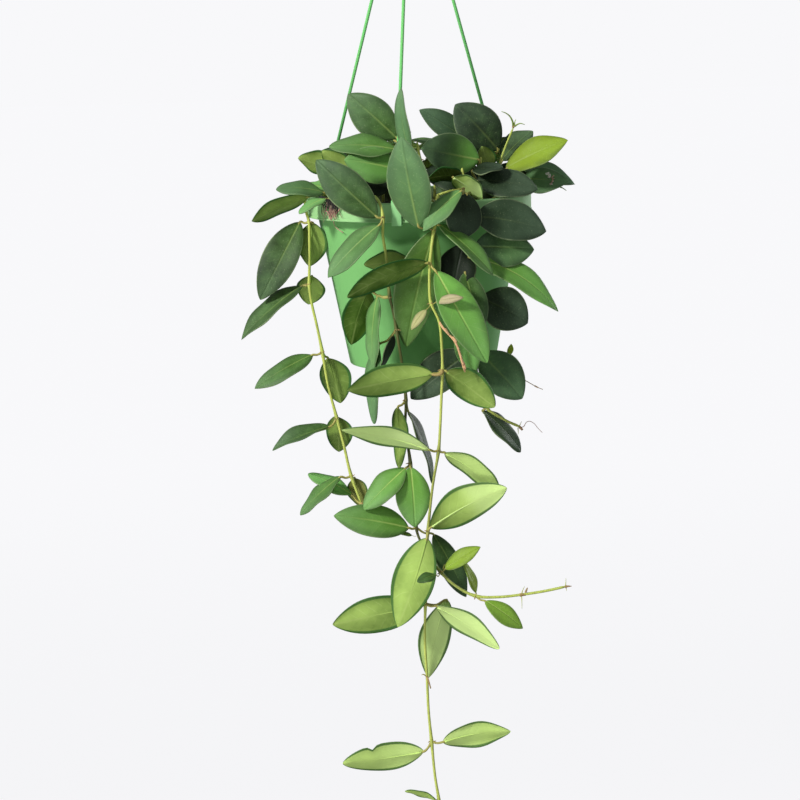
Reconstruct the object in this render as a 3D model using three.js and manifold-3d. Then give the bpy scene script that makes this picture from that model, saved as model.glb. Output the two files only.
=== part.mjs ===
// A potted hoya: a hanging nursery pot of pale green plastic on a three-strand hanger, filled with soil,
// with leafy vines that stand in the soil, crown the pot and trail over its rim.
// Millimetres, +Z up. The origin is where the hook bears on what holds it; the photograph is taken
// from the front, looking along +Y, with +X to the right.
import * as THREE from "three";
import { mergeVertices } from "three/addons/utils/BufferGeometryUtils.js";
import Module from "manifold-3d";

const wasm = await Module();
wasm.setup();

// Driving dimensions
const POT = {
  lip: -280, // height of the rim skirt's lower edge
  skirt: 12, // height of the skirt
  rimRadius: 75,
  topRadius: 67.6, // outside of the wall under the rim
  baseRadius: 49,
  depth: 99.5, // from the skirt's lower edge to the foot
  wall: 1.2,
  footWidth: 5,
  recess: 3,
  floor: 1.6,
  drains: 6,
  drainRadius: 3,
  drainCircle: 27,
  sides: 32,
};
const SOIL = {
  edge: 1, // height at the wall, above the skirt's lower edge
  crown: 5, // height at the axis
  gap: 0.3,
  rings: [1, 0.8, 0.55, 0.28], // of the mounded top, as shares of its radius
  holeDepth: 24,
  holeGap: 0.35,
};
const HOOK = {
  inner: 10,
  wire: 2.2,
  tipAngle: -115,
  endAngle: 125,
  stepAngle: 20,
  shank: [[4.5, -22.5], [0.8, -28], [0, -33], [0, -40]], // how far to the right, and the height
  sides: 8,
};
const HUB = {
  top: -37,
  shoulder: -43,
  bottom: -50,
  radius: 6.5,
  neck: 3.6,
  chamfer: 1,
  sides: 16,
  socket: 6,
  strandCircle: 3.4,
};
const STRAND = {
  radius: 1.25,
  sides: 8,
  gap: 0.3,
  tabWidth: 6.5,
  tabThick: 1.8,
  tabTop: 14.5, // above the skirt's lower edge
  footThick: 1.6,
  lipHeight: 4,
  lipThick: 1.3,
  azimuths: { front: -11.5, left: -125, right: 129 }, // from the front, + to the right
};
const STEM = { radius: 1.15, sides: 5 };
const STALK = { radius: 0.95 };
const BLADE = {
  middle: 1.4, // thickness
  edge: 0.8,
  rings: [0.1, 0.32, 0.58, 0.84], // as shares of the length
  fewRings: [0.15, 0.48, 0.8],
  narrow: 22, // width below which a blade has few rings
  arch: 0.05,
  fold: 8,
};
const ROOT = { bend: 8, rise: 2.5 }; // how far below and above the soil's top a stem stays upright

// The camera that the photograph was taken with, by which sighted points are placed
const VIEW = {
  distance: 1531, // from the pot's axis
  height: 133, // of the lens over the rim skirt's lower edge
  across: -16.3,
  pitch: 9.62,
  roll: 1.6,
  focal: 2297.6, // in picture pixels
  centre: 400,
};

const radians = THREE.MathUtils.degToRad;
const vector = (x, y, z) => new THREE.Vector3(x, y, z);

// A point seen at a picture pixel, so many millimetres nearer to the camera than the pot's axis
function sighted([across, down, near]) {
  const roll = radians(VIEW.roll);
  const pitch = radians(VIEW.pitch);
  const right = (across - VIEW.centre) / VIEW.focal;
  const up = (VIEW.centre - down) / VIEW.focal;
  const level = right * Math.cos(roll) + up * Math.sin(roll);
  const rise = up * Math.cos(roll) - right * Math.sin(roll);
  const reach = (VIEW.distance - near) / (Math.cos(pitch) + rise * Math.sin(pitch));
  return vector(
    VIEW.across + reach * level,
    -near,
    POT.lip + VIEW.height + reach * (rise * Math.cos(pitch) - Math.sin(pitch)),
  );
}

// Closed meshes as solids, and back
function solidOf(geometry) {
  const bare = geometry.index ? geometry.clone() : geometry;
  for (const name of Object.keys(bare.attributes)) {
    if (name !== "position") bare.deleteAttribute(name);
  }
  const merged = mergeVertices(bare, 1e-4);
  const corners = Float32Array.from(merged.attributes.position.array);
  const triangles = [];
  const index = merged.index.array;
  for (let i = 0; i < index.length; i += 3) {
    const [a, b, c] = [index[i], index[i + 1], index[i + 2]];
    if (a !== b && b !== c && c !== a) triangles.push(a, b, c);
  }
  const mesh = new wasm.Mesh({ numProp: 3, vertProperties: corners, triVerts: Uint32Array.from(triangles) });
  return new wasm.Manifold(mesh);
}

function geometryOf(solid) {
  const mesh = solid.getMesh();
  const geometry = new THREE.BufferGeometry();
  geometry.setAttribute("position", new THREE.BufferAttribute(Float32Array.from(mesh.vertProperties), 3));
  geometry.setIndex(new THREE.BufferAttribute(Uint32Array.from(mesh.triVerts), 1));
  return geometry;
}

const joined = (solids) => solids.reduce((whole, piece) => whole.add(piece));

// The outer shell of a join, with any hollow that the joining sealed filled
function filled(solid) {
  return solid.decompose().reduce((largest, piece) => (piece.volume() > largest.volume() ? piece : largest));
}

// A smooth curve that is stepped from point to point, so that a tube along it has a ring at each point
class SteppedCurve extends THREE.CatmullRomCurve3 {
  getPointAt(share, target) {
    return this.getPoint(share, target);
  }

  getTangentAt(share, target) {
    return this.getTangent(share, target);
  }
}

// A closed tube through the points
function tube(points, radius, sides) {
  const curve = new SteppedCurve(points, false, "centripetal");
  const outline = new THREE.Shape();
  for (let i = 0; i < sides; i += 1) {
    const turn = (2 * Math.PI * i) / sides;
    const [x, y] = [radius * Math.cos(turn), radius * Math.sin(turn)];
    if (i) outline.lineTo(x, y);
    else outline.moveTo(x, y);
  }
  outline.closePath();
  const steps = points.length - 1;
  return solidOf(new THREE.ExtrudeGeometry(outline, { steps, extrudePath: curve, curveSegments: 1 }));
}

function lathe(profile, sides) {
  const points = profile.map(([radius, height]) => new THREE.Vector2(radius, height));
  return solidOf(new THREE.LatheGeometry(points, sides).rotateX(Math.PI / 2));
}

function box(width, depth, height, x, y, z) {
  return solidOf(new THREE.BoxGeometry(width, depth, height).translate(x, y, z));
}

function drill(radius, from, to, sides = 12) {
  return tube([from, to], radius, sides);
}

// Pot: a tapered shell with a rim turned out and down into a hollow skirt, and a recessed, drained floor
function pot() {
  const { lip, wall, rimRadius, topRadius, baseRadius } = POT;
  const top = lip + POT.skirt;
  const foot = lip - POT.depth;
  const ceiling = foot + POT.recess;
  const shell = lathe(
    [
      [0, ceiling],
      [baseRadius - POT.footWidth - 1, ceiling],
      [baseRadius - POT.footWidth, foot],
      [baseRadius - 0.8, foot],
      [baseRadius, foot + 0.8],
      [topRadius, lip],
      [topRadius + 0.6, top - wall],
      [rimRadius - wall, top - wall],
      [rimRadius - wall, lip],
      [rimRadius, lip],
      [rimRadius, top - 1],
      [rimRadius - 1, top],
      [topRadius - wall + 1, top],
      [topRadius - wall, top - 1],
      [topRadius - wall, lip],
      [baseRadius - wall, ceiling + POT.floor + 2],
      [baseRadius - wall - 2, ceiling + POT.floor],
      [0, ceiling + POT.floor],
    ],
    POT.sides,
  );
  const drains = [];
  for (let i = 0; i < POT.drains; i += 1) {
    const turn = (2 * Math.PI * i) / POT.drains;
    const [x, y] = [POT.drainCircle * Math.cos(turn), POT.drainCircle * Math.sin(turn)];
    drains.push(drill(POT.drainRadius, vector(x, y, foot - 1), vector(x, y, ceiling + POT.floor + 1)));
  }
  return shell.subtract(joined(drains));
}

// Height of the soil's gently mounded top at a distance from the axis
function soilTop(distance) {
  const share = Math.min(1, distance / (POT.topRadius - POT.wall));
  return POT.lip + SOIL.edge + (SOIL.crown - SOIL.edge) * Math.cos((share * Math.PI) / 2);
}

// Soil: fills the pot, with a plain hole for each stem that stands in it
function soil(feet) {
  const floor = POT.lip - POT.depth + POT.recess + POT.floor + SOIL.gap;
  const foot = POT.baseRadius - POT.wall - SOIL.gap;
  const edge = POT.topRadius - POT.wall - SOIL.gap;
  const surface = SOIL.rings.map((share) => [edge * share, soilTop(edge * share)]);
  const base = [[0, floor], [foot - 2.6, floor], [foot, floor + 2.4]];
  const body = lathe([...base, [edge, POT.lip], ...surface, [0, soilTop(0)]], POT.sides);
  const holes = feet.map(([x, y]) => {
    const height = soilTop(Math.hypot(x, y));
    const bottom = vector(x, y, height - SOIL.holeDepth - 1);
    return drill(STEM.radius + SOIL.holeGap, bottom, vector(x, y, height + 3), 8);
  });
  return body.subtract(joined(holes));
}

// Hook: a round wire bent over the bearing point, whose shank swells into a hub with three sockets
function hook(sockets) {
  const centre = HOOK.inner + HOOK.wire;
  const bend = [];
  for (let angle = HOOK.tipAngle; angle <= HOOK.endAngle; angle += HOOK.stepAngle) {
    const turn = radians(angle);
    bend.push(vector(centre * Math.sin(turn), 0, -HOOK.inner + centre * Math.cos(turn)));
  }
  bend.push(...HOOK.shank.map(([across, height]) => vector(across, 0, height)));
  const wire = tube(bend, HOOK.wire, HOOK.sides);
  const hub = lathe(
    [
      [0, HUB.bottom],
      [HUB.radius - HUB.chamfer, HUB.bottom],
      [HUB.radius, HUB.bottom + HUB.chamfer],
      [HUB.radius, HUB.shoulder],
      [HUB.neck, HUB.top],
      [0, HUB.top],
    ],
    HUB.sides,
  );
  return wire.add(hub).subtract(joined(sockets));
}

// A strand runs straight from its socket in the hub to the rim
function strandLine(azimuth) {
  const turn = radians(azimuth);
  const out = vector(Math.sin(turn), -Math.cos(turn), 0);
  const clip = POT.rimRadius + STRAND.gap + STRAND.tabThick / 2;
  const bottom = out.clone().multiplyScalar(clip + 0.2).setZ(POT.lip + STRAND.tabTop - 1);
  const top = out.clone().multiplyScalar(HUB.strandCircle).setZ(HUB.bottom);
  const along = bottom.clone().sub(top).normalize();
  return { bottom, along, top: top.addScaledVector(along, -HUB.socket) };
}

function strandSocket(azimuth) {
  const { top, along } = strandLine(azimuth);
  const inner = top.clone().addScaledVector(along, -STRAND.gap);
  const mouth = top.clone().addScaledVector(along, HUB.socket + 4);
  return drill(STRAND.radius + STRAND.gap, inner, mouth, STRAND.sides);
}

// Strand: the rod, a flat tab outside the skirt, and a foot that turns in under it and up behind it
function strand(azimuth) {
  const { top, bottom } = strandLine(azimuth);
  const rod = tube([top, bottom], STRAND.radius, STRAND.sides);
  const tabHeight = STRAND.tabTop + STRAND.gap + STRAND.footThick;
  const tabOut = POT.rimRadius + STRAND.gap + STRAND.tabThick / 2;
  const footBottom = POT.lip - STRAND.gap - STRAND.footThick;
  const lipIn = POT.rimRadius - POT.wall - STRAND.gap - 0.7;
  const footLength = tabOut - lipIn + STRAND.lipThick;
  const tab = box(STRAND.tabWidth, STRAND.tabThick, tabHeight, 0, -tabOut, footBottom + tabHeight / 2);
  const foot = box(
    STRAND.tabWidth,
    footLength,
    STRAND.footThick,
    0,
    -tabOut + footLength / 2,
    footBottom + STRAND.footThick / 2,
  );
  const lip = box(
    STRAND.tabWidth * 0.8,
    STRAND.lipThick,
    STRAND.lipHeight,
    0,
    -lipIn + STRAND.lipThick / 2,
    footBottom + STRAND.lipHeight / 2 + 0.2,
  );
  const clip = joined([tab, foot, lip]).rotate([0, 0, azimuth]);
  return rod.add(clip);
}

// A leaf: the stem point it grows from, the base and tip of its blade, its width, and the way its upper
// face looks as [right, toward the camera, up]
const leaf = (node, base, tip, width, face, shape = {}) => ({ node, base, tip, width, face, ...shape });

// Elliptic outline with a short point, as a share of the blade's half width
const outlineAt = (along) => Math.sin(Math.PI * along ** 0.92) ** 0.8;

// A frame across a direction, turned as little as may be from the leaf's own upper face and side
function frameAcross(direction, upper, side) {
  if (Math.abs(upper.dot(direction)) < Math.abs(side.dot(direction))) {
    const up = upper.clone().addScaledVector(direction, -upper.dot(direction)).normalize();
    return { up, side: direction.clone().cross(up) };
  }
  const level = side.clone().addScaledVector(direction, -side.dot(direction)).normalize();
  return { up: level.clone().cross(direction), side: level };
}

// A leaf in one closed skin: its stalk from the stem, and a blade that is arched along the midrib, folded
// up a little on each half and fleshy in the middle. Every ring is upper left, middle, right, then lower.
function leafSkin({ start, base, tip, width, face, shape }) {
  const along = tip.clone().sub(base);
  const length = along.length();
  along.normalize();
  const upper = face.clone().addScaledVector(along, -face.dot(along)).normalize();
  const side = along.clone().cross(upper);
  const corners = [];
  const push = (point) => corners.push(point.x, point.y, point.z);

  const stalk = base.clone().sub(start).normalize();
  for (const [centre, direction] of [[start, stalk], [base, stalk.clone().add(along).normalize()]]) {
    const frame = frameAcross(direction, upper, side);
    for (const level of [1, -1]) {
      for (const reach of [-1, 0, 1]) {
        const point = centre.clone().addScaledVector(frame.side, reach * STALK.radius * 0.87);
        push(point.addScaledVector(frame.up, level * STALK.radius * (reach ? 0.5 : 1)));
      }
    }
  }

  const fold = radians(shape.fold ?? BLADE.fold);
  const arch = (shape.arch ?? BLADE.arch) * length;
  for (const share of width < BLADE.narrow || shape.plain ? BLADE.fewRings : BLADE.rings) {
    const half = (width / 2) * outlineAt(share);
    const middle = base.clone().addScaledVector(along, length * share);
    middle.addScaledVector(upper, arch * 4 * share * (1 - share));
    for (const level of [0.5, -0.5]) {
      for (const reach of [-1, 0, 1]) {
        const thick = reach ? BLADE.edge : BLADE.middle;
        const point = middle.clone().addScaledVector(side, reach * half * Math.cos(fold));
        push(point.addScaledVector(upper, Math.abs(reach) * half * Math.sin(fold) + level * thick));
      }
    }
  }
  push(tip);

  const rings = corners.length / 18 - 1 / 6;
  const triangles = [];
  for (let ring = 0; ring < rings - 1; ring += 1) {
    const [near, far] = [6 * ring, 6 * ring + 6];
    for (const a of [0, 1]) {
      triangles.push(near + a, near + a + 1, far + a + 1, near + a, far + a + 1, far + a);
      triangles.push(near + a + 3, far + a + 4, near + a + 4, near + a + 3, far + a + 3, far + a + 4);
    }
    triangles.push(near, far, far + 3, near, far + 3, near + 3);
    triangles.push(near + 2, near + 5, far + 5, near + 2, far + 5, far + 2);
  }
  const round = [0, 1, 2, 5, 4, 3];
  const last = 6 * (rings - 1);
  for (let i = 0; i < 6; i += 1) triangles.push(last + 6, last + round[i], last + round[(i + 1) % 6]);
  for (let i = 1; i < 5; i += 1) triangles.push(round[0], round[i + 1], round[i]);
  const geometry = new THREE.BufferGeometry();
  geometry.setAttribute("position", new THREE.Float32BufferAttribute(corners, 3));
  geometry.setIndex(triangles);
  return solidOf(geometry);
}

// Every leafy stem, foremost first. foot is where it stands in the soil, as [x, y] in millimetres.
// path and the leaves' points are sighted: [picture across, picture down, millimetres nearer than the axis].
const PLANT = {
  vine_main: {
    foot: [10, -50],
    stem: {
      path: [
        [438, 195, 66], [438, 205, 79], [437, 222, 81], [434, 230, 83], [430, 262.7, 88], [429.5, 288, 91],
        [431, 303, 92], [439.3, 322, 92], [441.9, 350, 91], [442.5, 370, 91], [441.5, 395, 90],
        [440.2, 426, 90], [438.6, 450.5, 90], [432.7, 486, 90], [428, 530.8, 90], [425.5, 570, 89],
        [425.4, 604, 88], [424.8, 640, 86], [427, 677, 85], [428.5, 710, 84], [431.6, 741.6, 83],
        [435, 776, 82], [438.8, 800, 82], [440, 822, 82],
      ],
      leaves: {
        frontmost: leaf(2, [419, 227, 90], [401, 137, 97], 29, [-0.35, 0.9, 0.25]),
        over_right: leaf(2, [439, 225, 88], [493.5, 276, 96], 22, [0.1, 0.4, 0.9], { fold: 22 }),
        long_behind: leaf(3, [434, 230, 82], [406, 347, 74], 28, [0, 1, 0.1]),
        brown_behind: leaf(3, [412, 262, 73], [364, 265, 72], 21, [0, -0.75, 0.6]),
        first_left: leaf(4, [427.4, 263, 91], [347, 297, 98], 24, [-0.1, -0.72, 0.7]),
        first_right: leaf(4, [435.5, 271, 93], [487, 363, 97], 25, [0.2, 0.95, 0.2]),
        young_right: leaf(6, [435.8, 302.4, 98], [463.6, 297.7, 104], 6.5, [0.1, 0.85, 0.5]),
        young_left: leaf(6, [426.6, 309.5, 94], [411.3, 330, 97], 6.5, [-0.3, 0.8, 0.4]),
        fourth_left: leaf(9, [433, 374, 93], [347, 390.5, 98], 25, [0, -0.9, 0.4]),
        fourth_right: leaf(9, [449, 369, 92], [495, 405, 92], 23, [0.1, -0.82, 0.5]),
        fifth_left: leaf(12, [430, 450, 93], [341.6, 430.5, 100], 24, [0, -0.62, 0.78]),
        fifth_right: leaf(12, [444.5, 452.5, 89], [500, 495, 85], 22, [0.2, -0.66, 0.7]),
        sixth_right: leaf(14, [430, 528, 93], [507, 488, 96], 26, [0, -0.95, 0.2]),
        sixth_left: leaf(14, [427, 538, 93], [398, 627, 98], 28, [0.2, -0.95, 0]),
        seventh_left: leaf(16, [420, 606, 87], [332.5, 624.5, 86], 27, [0, -0.97, 0.2]),
        seventh_right: leaf(16, [436, 606, 90], [499.5, 648.6, 94], 23, [0.2, -0.74, 0.6]),
        seventh_behind: leaf(16, [447, 600, 82], [429, 678, 79], 23, [-0.3, -0.8, 0.2]),
        ninth_left: leaf(20, [424, 750.5, 84], [342.7, 766, 88], 24, [0, -0.93, 0.35]),
        ninth_right: leaf(20, [443, 742, 84], [510.7, 731, 88], 21, [0, -0.93, 0.35]),
        low_left: leaf(22, [436, 800, 83], [405, 791, 86], 9, [0, -0.6, 0.75]),
        end_left: leaf(23, [436.5, 827, 83], [426, 849, 85], 7, [-0.4, 0.8, 0.3]),
        end_right: leaf(23, [443.5, 826, 83], [456, 845, 84], 7, [0.4, 0.8, 0.3]),
      },
    },
    side: {
      path: [[438, 195, 66], [450, 191, 67], [463, 189, 66]],
      leaves: {
        over_rim: leaf(2, [461.5, 191, 91], [423, 231.5, 97], 19, [-0.56, 0.62, 0.52]),
        over_rim_behind: leaf(2, [467, 194, 80], [459, 240, 88], 27, [0.45, 0.85, 0.25]),
      },
    },
    old_flower_stalk: {
      path: [[439.3, 322, 92], [444, 329, 97], [454.6, 341, 101], [459, 351, 101], [465, 372, 100]],
      leaves: {},
    },
  },
  vine_centre: {
    foot: [-28, -47],
    stem: {
      path: [
        [374, 197, 63], [379.6, 203, 79], [383, 217.5, 83], [382.8, 235, 84], [386, 256, 83],
        [389.7, 297, 80], [393, 311, 79], [396.3, 330, 78], [402, 364, 77], [406, 400, 76],
        [405.4, 426, 74], [410.4, 463, 72],
        [416.2, 527.5, 72], [419.5, 539, 72], [430, 558, 77], [440.5, 572, 86], [455.7, 586, 89],
        [475.4, 596, 90], [498.6, 597, 91], [521.8, 594.6, 91], [545, 591, 91], [566.4, 586.4, 91],
      ],
      leaves: {
        front_left: leaf(2, [377, 217, 84], [316, 160, 74], 25, [-0.25, 0.85, 0.45]),
        grey_left: leaf(2, [379.6, 225, 86], [328, 278, 88], 23, [-0.2, 0.52, 0.8]),
        olive_hanging: leaf(5, [368, 290, 76], [351.5, 345, 70], 22, [-0.2, -0.8, 0.2]),
        light_hanging: leaf(5, [378, 296, 78], [375, 372, 74], 21, [-0.85, 0.43, 0.1]),
        blue_hanging: leaf(7, [378, 345, 73], [374, 424, 69], 21, [-0.85, 0.46, 0]),
        dark_hanging: leaf(7, [393, 334, 75], [380, 370, 73], 16, [0.9, 0.35, 0]),
        olive_low: leaf(9, [398, 407, 77], [399, 468, 75], 19, [0.8, -0.55, 0]),
        dark_low: leaf(9, [408, 411, 73], [432.5, 484, 66], 19, [0.9, 0.25, 0.3]),
        pair_left: leaf(11, [406, 468, 75], [364, 510, 82], 21, [-0.3, 0.66, 0.6]),
        pair_right: leaf(11, [410.5, 467, 76], [415, 527.5, 82], 23, [0, 1, 0.2]),
        long_left: leaf(12, [409, 528, 76], [333.6, 516, 84], 23, [-0.1, 0.83, 0.5]),
        dark_right: leaf(12, [427, 538, 68], [466.4, 597, 62], 19, [0.3, 0.8, 0.2]),
        branch_left: leaf(15, [436, 575, 102], [417, 582, 110], 8, [-0.2, 0.7, 0.6]),
        branch_right: leaf(15, [445, 569, 89], [480.7, 547, 92], 12, [0.2, 0.6, 0.7]),
        branch_up: leaf(17, [476, 593, 90], [463, 561, 86], 11, [0.8, 0.45, 0.2]),
        branch_down: leaf(17, [485, 601, 92], [523, 628.6, 96], 15, [0.1, 0.6, 0.75]),
      },
    },
  },
  vine_left: {
    foot: [-46, -18],
    stem: {
      path: [
        [337, 199, 22], [329, 196, 22], [313, 193, 21], [305.5, 200, 20], [306, 211, 21], [309, 222, 23],
        [309.5, 238, 25], [309.5, 264, 27], [309.3, 284, 28], [311.4, 302, 29], [316.5, 324, 30],
        [322.3, 352, 31], [328, 385, 32], [336.8, 418, 33], [343.8, 445, 34], [351.2, 476, 35],
        [361.7, 504, 36],
      ],
      leaves: {
        inner_light: leaf(1, [330, 190, 14], [304, 186, 3], 20, [0, 0.4, 0.9]),
        inner_dark: leaf(1, [324, 193, 26], [276, 190, 32], 22, [0, 0.4, 0.9]),
        inner_edge: leaf(1, [326, 199, 42], [299, 214, 50], 14, [0, 0.2, 1]),
        outer_olive: leaf(2, [308, 197, 27], [251.5, 221, 36], 24, [0, -0.55, 0.83]),
        first_left: leaf(5, [300, 222, 22], [260.4, 300, 30], 25, [-0.3, 1, 0.1]),
        first_right: leaf(5, [313, 223, 22], [309, 266.5, 18], 21, [0.2, -0.95, 0]),
        second_left: leaf(8, [303, 285.5, 26], [241.3, 340, 34], 24, [-0.3, 0.4, 0.85], { fold: 20 }),
        second_right: leaf(8, [312, 276, 20], [309, 304.5, 17], 20, [0.2, -0.9, 0.1]),
        third_left: leaf(11, [312.7, 355, 32], [254.7, 389, 40], 22, [-0.2, 0.57, 0.8]),
        third_right: leaf(11, [328, 358, 26], [341, 403, 24], 22, [0.2, -0.9, 0.1]),
        fourth_left: leaf(13, [329.7, 423, 36], [272.3, 449.4, 42], 20, [-0.2, 0.4, 0.9], { fold: 30 }),
        fourth_right: leaf(13, [338, 415, 30], [342.8, 451.6, 28], 19, [0.2, -0.87, 0.2]),
        fifth_left: leaf(15, [340.6, 477, 38], [300.5, 515.5, 43], 18, [-0.3, 0.36, 0.85]),
        fifth_right: leaf(15, [355, 478, 32], [360, 506, 31], 15, [0.2, -0.9, 0.2]),
        end_left: leaf(16, [352, 495, 33], [308, 474, 26], 16, [0, 0.4, 0.9]),
      },
    },
  },
  vine_right: {
    foot: [34, -45],
    stem: {
      path: [
        [470, 193, 57], [467, 201, 70.5], [465, 214, 73], [464, 235, 73.5], [465, 252, 73], [469, 280, 71],
        [472, 300, 69], [474, 330, 66], [475, 350, 65], [478, 380, 64], [486, 407, 63], [505, 420, 64],
        [520.6, 427, 65],
      ],
      leaves: {
        top_right: leaf(2, [474, 217, 77], [546.4, 231, 68], 29, [0.2, 0.88, 0.45]),
        second_dark: leaf(4, [474, 247, 77], [534, 249, 68], 27, [0.2, 0.87, 0.4]),
        second_bright: leaf(4, [472, 258, 83], [558.3, 312, 82], 25, [0.2, 0.66, 0.75]),
        inner_dark: leaf(3, [463, 244, 74], [452, 300, 79], 26, [-0.15, 0.97, 0.1]),
        green_strip: leaf(5, [465, 272, 80], [483, 328, 80], 20, [-0.2, 0.9, 0.2]),
        third_dark: leaf(6, [480, 298, 70], [528, 323, 64], 29, [0.3, 0.95, 0.1]),
        blue_strip: leaf(6, [466, 318, 76], [474, 375.5, 76], 20, [-0.5, 0.8, 0]),
        fourth_dark: leaf(8, [480, 353, 65], [522, 399, 60], 28, [0.3, 0.95, 0]),
        fourth_left: leaf(8, [470, 352, 68], [411, 399, 62], 26, [-0.2, 0.95, 0.1]),
        fifth_dark: leaf(10, [486, 410, 61], [523.6, 451.7, 58], 20, [0.6, 0.48, 0.6]),
      },
    },
  },
  crown_front: {
    foot: [2, -40],
    stem: {
      path: [[412, 195, 44], [410, 180, 47], [406, 169, 49], [402, 154, 47], [401, 141, 46], [404, 131, 46]],
      leaves: {
        bright_left: leaf(2, [400, 170, 53], [344, 160, 60], 25, [0, 0.95, 0.3]),
        olive_left: leaf(3, [396, 150, 52], [329, 147, 52], 23, [0, 0.6, 0.8]),
        high_left: leaf(4, [397, 138, 45], [348, 94, 38], 26, [-0.3, 0.9, 0.3]),
      },
    },
  },
  crown_centre: {
    foot: [12, -34],
    stem: {
      path: [[424, 193, 50], [423, 175, 62], [420, 160, 68], [417, 142, 68]],
      leaves: {
        edge_on: leaf(2, [410.5, 158, 70], [399.6, 88, 67], 15, [-0.75, 0.65, 0.1], { fold: 14 }),
      },
    },
  },
  crown_left: {
    foot: [-40, -2],
    stem: {
      path: [[353, 194, 2], [354, 182, 4], [352, 170, 4], [351, 160, 2]],
      leaves: {
        olive_out: leaf(1, [337, 171, 0], [298, 158, -4], 20, [0.2, -0.8, 0.5]),
        brown_front: leaf(1, [349, 174, 9], [322, 151, 12], 18, [0.2, -0.75, 0.5]),
        dark_edge: leaf(3, [347, 157, -2], [322, 151, -8], 18, [0, 0.15, 1]),
      },
    },
  },
  crown_right_front: {
    foot: [24, -36],
    stem: {
      path: [[462, 195, 44], [463, 184, 52], [463, 176, 54], [462, 168, 54]],
      leaves: {
        yellow_underside: leaf(1, [453, 177, 61], [482, 199, 54], 18, [0.3, -0.8, 0.5]),
        brown_underside: leaf(2, [463, 176, 58], [427, 178, 62], 21, [0, -0.55, 0.85]),
      },
    },
  },
  crown_right: {
    foot: [42, -22],
    stem: {
      path: [[481, 195, 28], [480, 182, 33], [480, 168, 34], [481, 157, 32]],
      leaves: {
        near_black: leaf(1, [484, 182, 42], [537.7, 189, 48], 24, [0.2, 0.76, 0.6]),
        shaded: leaf(1, [484, 184, 27], [423, 173, 24], 26, [0, 0.8, 0.6]),
        grey_flat: leaf(1, [472, 171, 42], [503, 168, 48], 20, [0, 0.33, 0.95]),
        high_left: leaf(2, [479, 160, 38], [421, 148, 46], 29, [0.1, 0.92, 0.35]),
      },
    },
  },
  crown_young: {
    foot: [50, -6],
    stem: {
      path: [[498, 193, 12], [499, 178, 17], [499.5, 165, 18], [505, 148, 18], [513.5, 127, 20]],
      leaves: {
        bright_right: leaf(1, [506, 169, 22], [568, 140.4, 30], 24, [0.1, 0.69, 0.7]),
        small_brown: leaf(1, [490, 172, 23], [482, 146, 27], 15, [-0.3, -0.8, 0.2]),
        curled_right: leaf(2, [502, 161, 12], [533, 131, 6], 19, [0.1, 0.6, 0.7]),
      },
    },
  },
  crown_far_right: {
    foot: [48, 14],
    stem: {
      path: [[510, 191, -10], [516, 179, -8], [521, 170, -8]],
      leaves: {
        dark_right: leaf(1, [526, 184, 4], [567.5, 182, 14], 21, [0.1, 0.8, 0.6]),
        grey_right: leaf(2, [528, 167, -8], [575, 184.6, -6], 20, [0.2, 0.27, 0.95]),
      },
    },
  },
  crown_back_right: {
    foot: [30, -4],
    stem: {
      path: [[470, 189, 4], [476, 172, 6], [482, 158, 6], [484, 148, 5]],
      leaves: {
        high_dark: leaf(2, [498, 150, 12], [455, 104.5, 12], 31, [0.1, 0.95, 0.3]),
        high_grey: leaf(2, [470, 136, 2], [419, 110, 8], 24, [-0.1, 0.85, 0.45]),
      },
    },
  },
};

// Stems that the front view hides, grown by one rule: a stem stands at an azimuth behind the axis, leans
// out and, if it trails, passes over the rim and hangs along the wall, with leaves in opposite pairs
const GROWN = {
  crown_middle: { azimuth: 220, ring: 12, rise: 34, lean: 6, pairs: 3, seed: 33 },
  crown_back_left: { azimuth: -150, ring: 48, rise: 24, lean: 16, pairs: 2, seed: 3, scale: 0.75 },
  crown_side_left: { azimuth: -115, ring: 52, rise: 16, lean: 6, pairs: 2, seed: 4, scale: 0.6 },
  crown_side_right: { azimuth: 110, ring: 38, rise: 24, lean: 12, pairs: 2, seed: 12, scale: 0.8 },
  crown_back: { azimuth: 165, ring: 44, rise: 28, lean: 8, pairs: 2, seed: 23, scale: 0.8 },
  crown_back_outer: { azimuth: 135, ring: 54, rise: 20, lean: 6, pairs: 2, seed: 19, scale: 0.7 },
  trail_back_left: { azimuth: -166, ring: 58, trail: 78, pairs: 4, seed: 1, scale: 0.8 },
  trail_back_right: { azimuth: 156, ring: 58, trail: 62, pairs: 3, seed: 2, scale: 0.8 },
};
const GROWN_LEAF = { longest: 48, spread: 12, widest: 25, narrowing: 5, stalk: 6 };

// A repeatable draw between 0 and 1
function draws(seed) {
  let state = seed * 7919;
  return () => {
    state = (state * 16807) % 2147483647;
    return state / 2147483647;
  };
}

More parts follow.
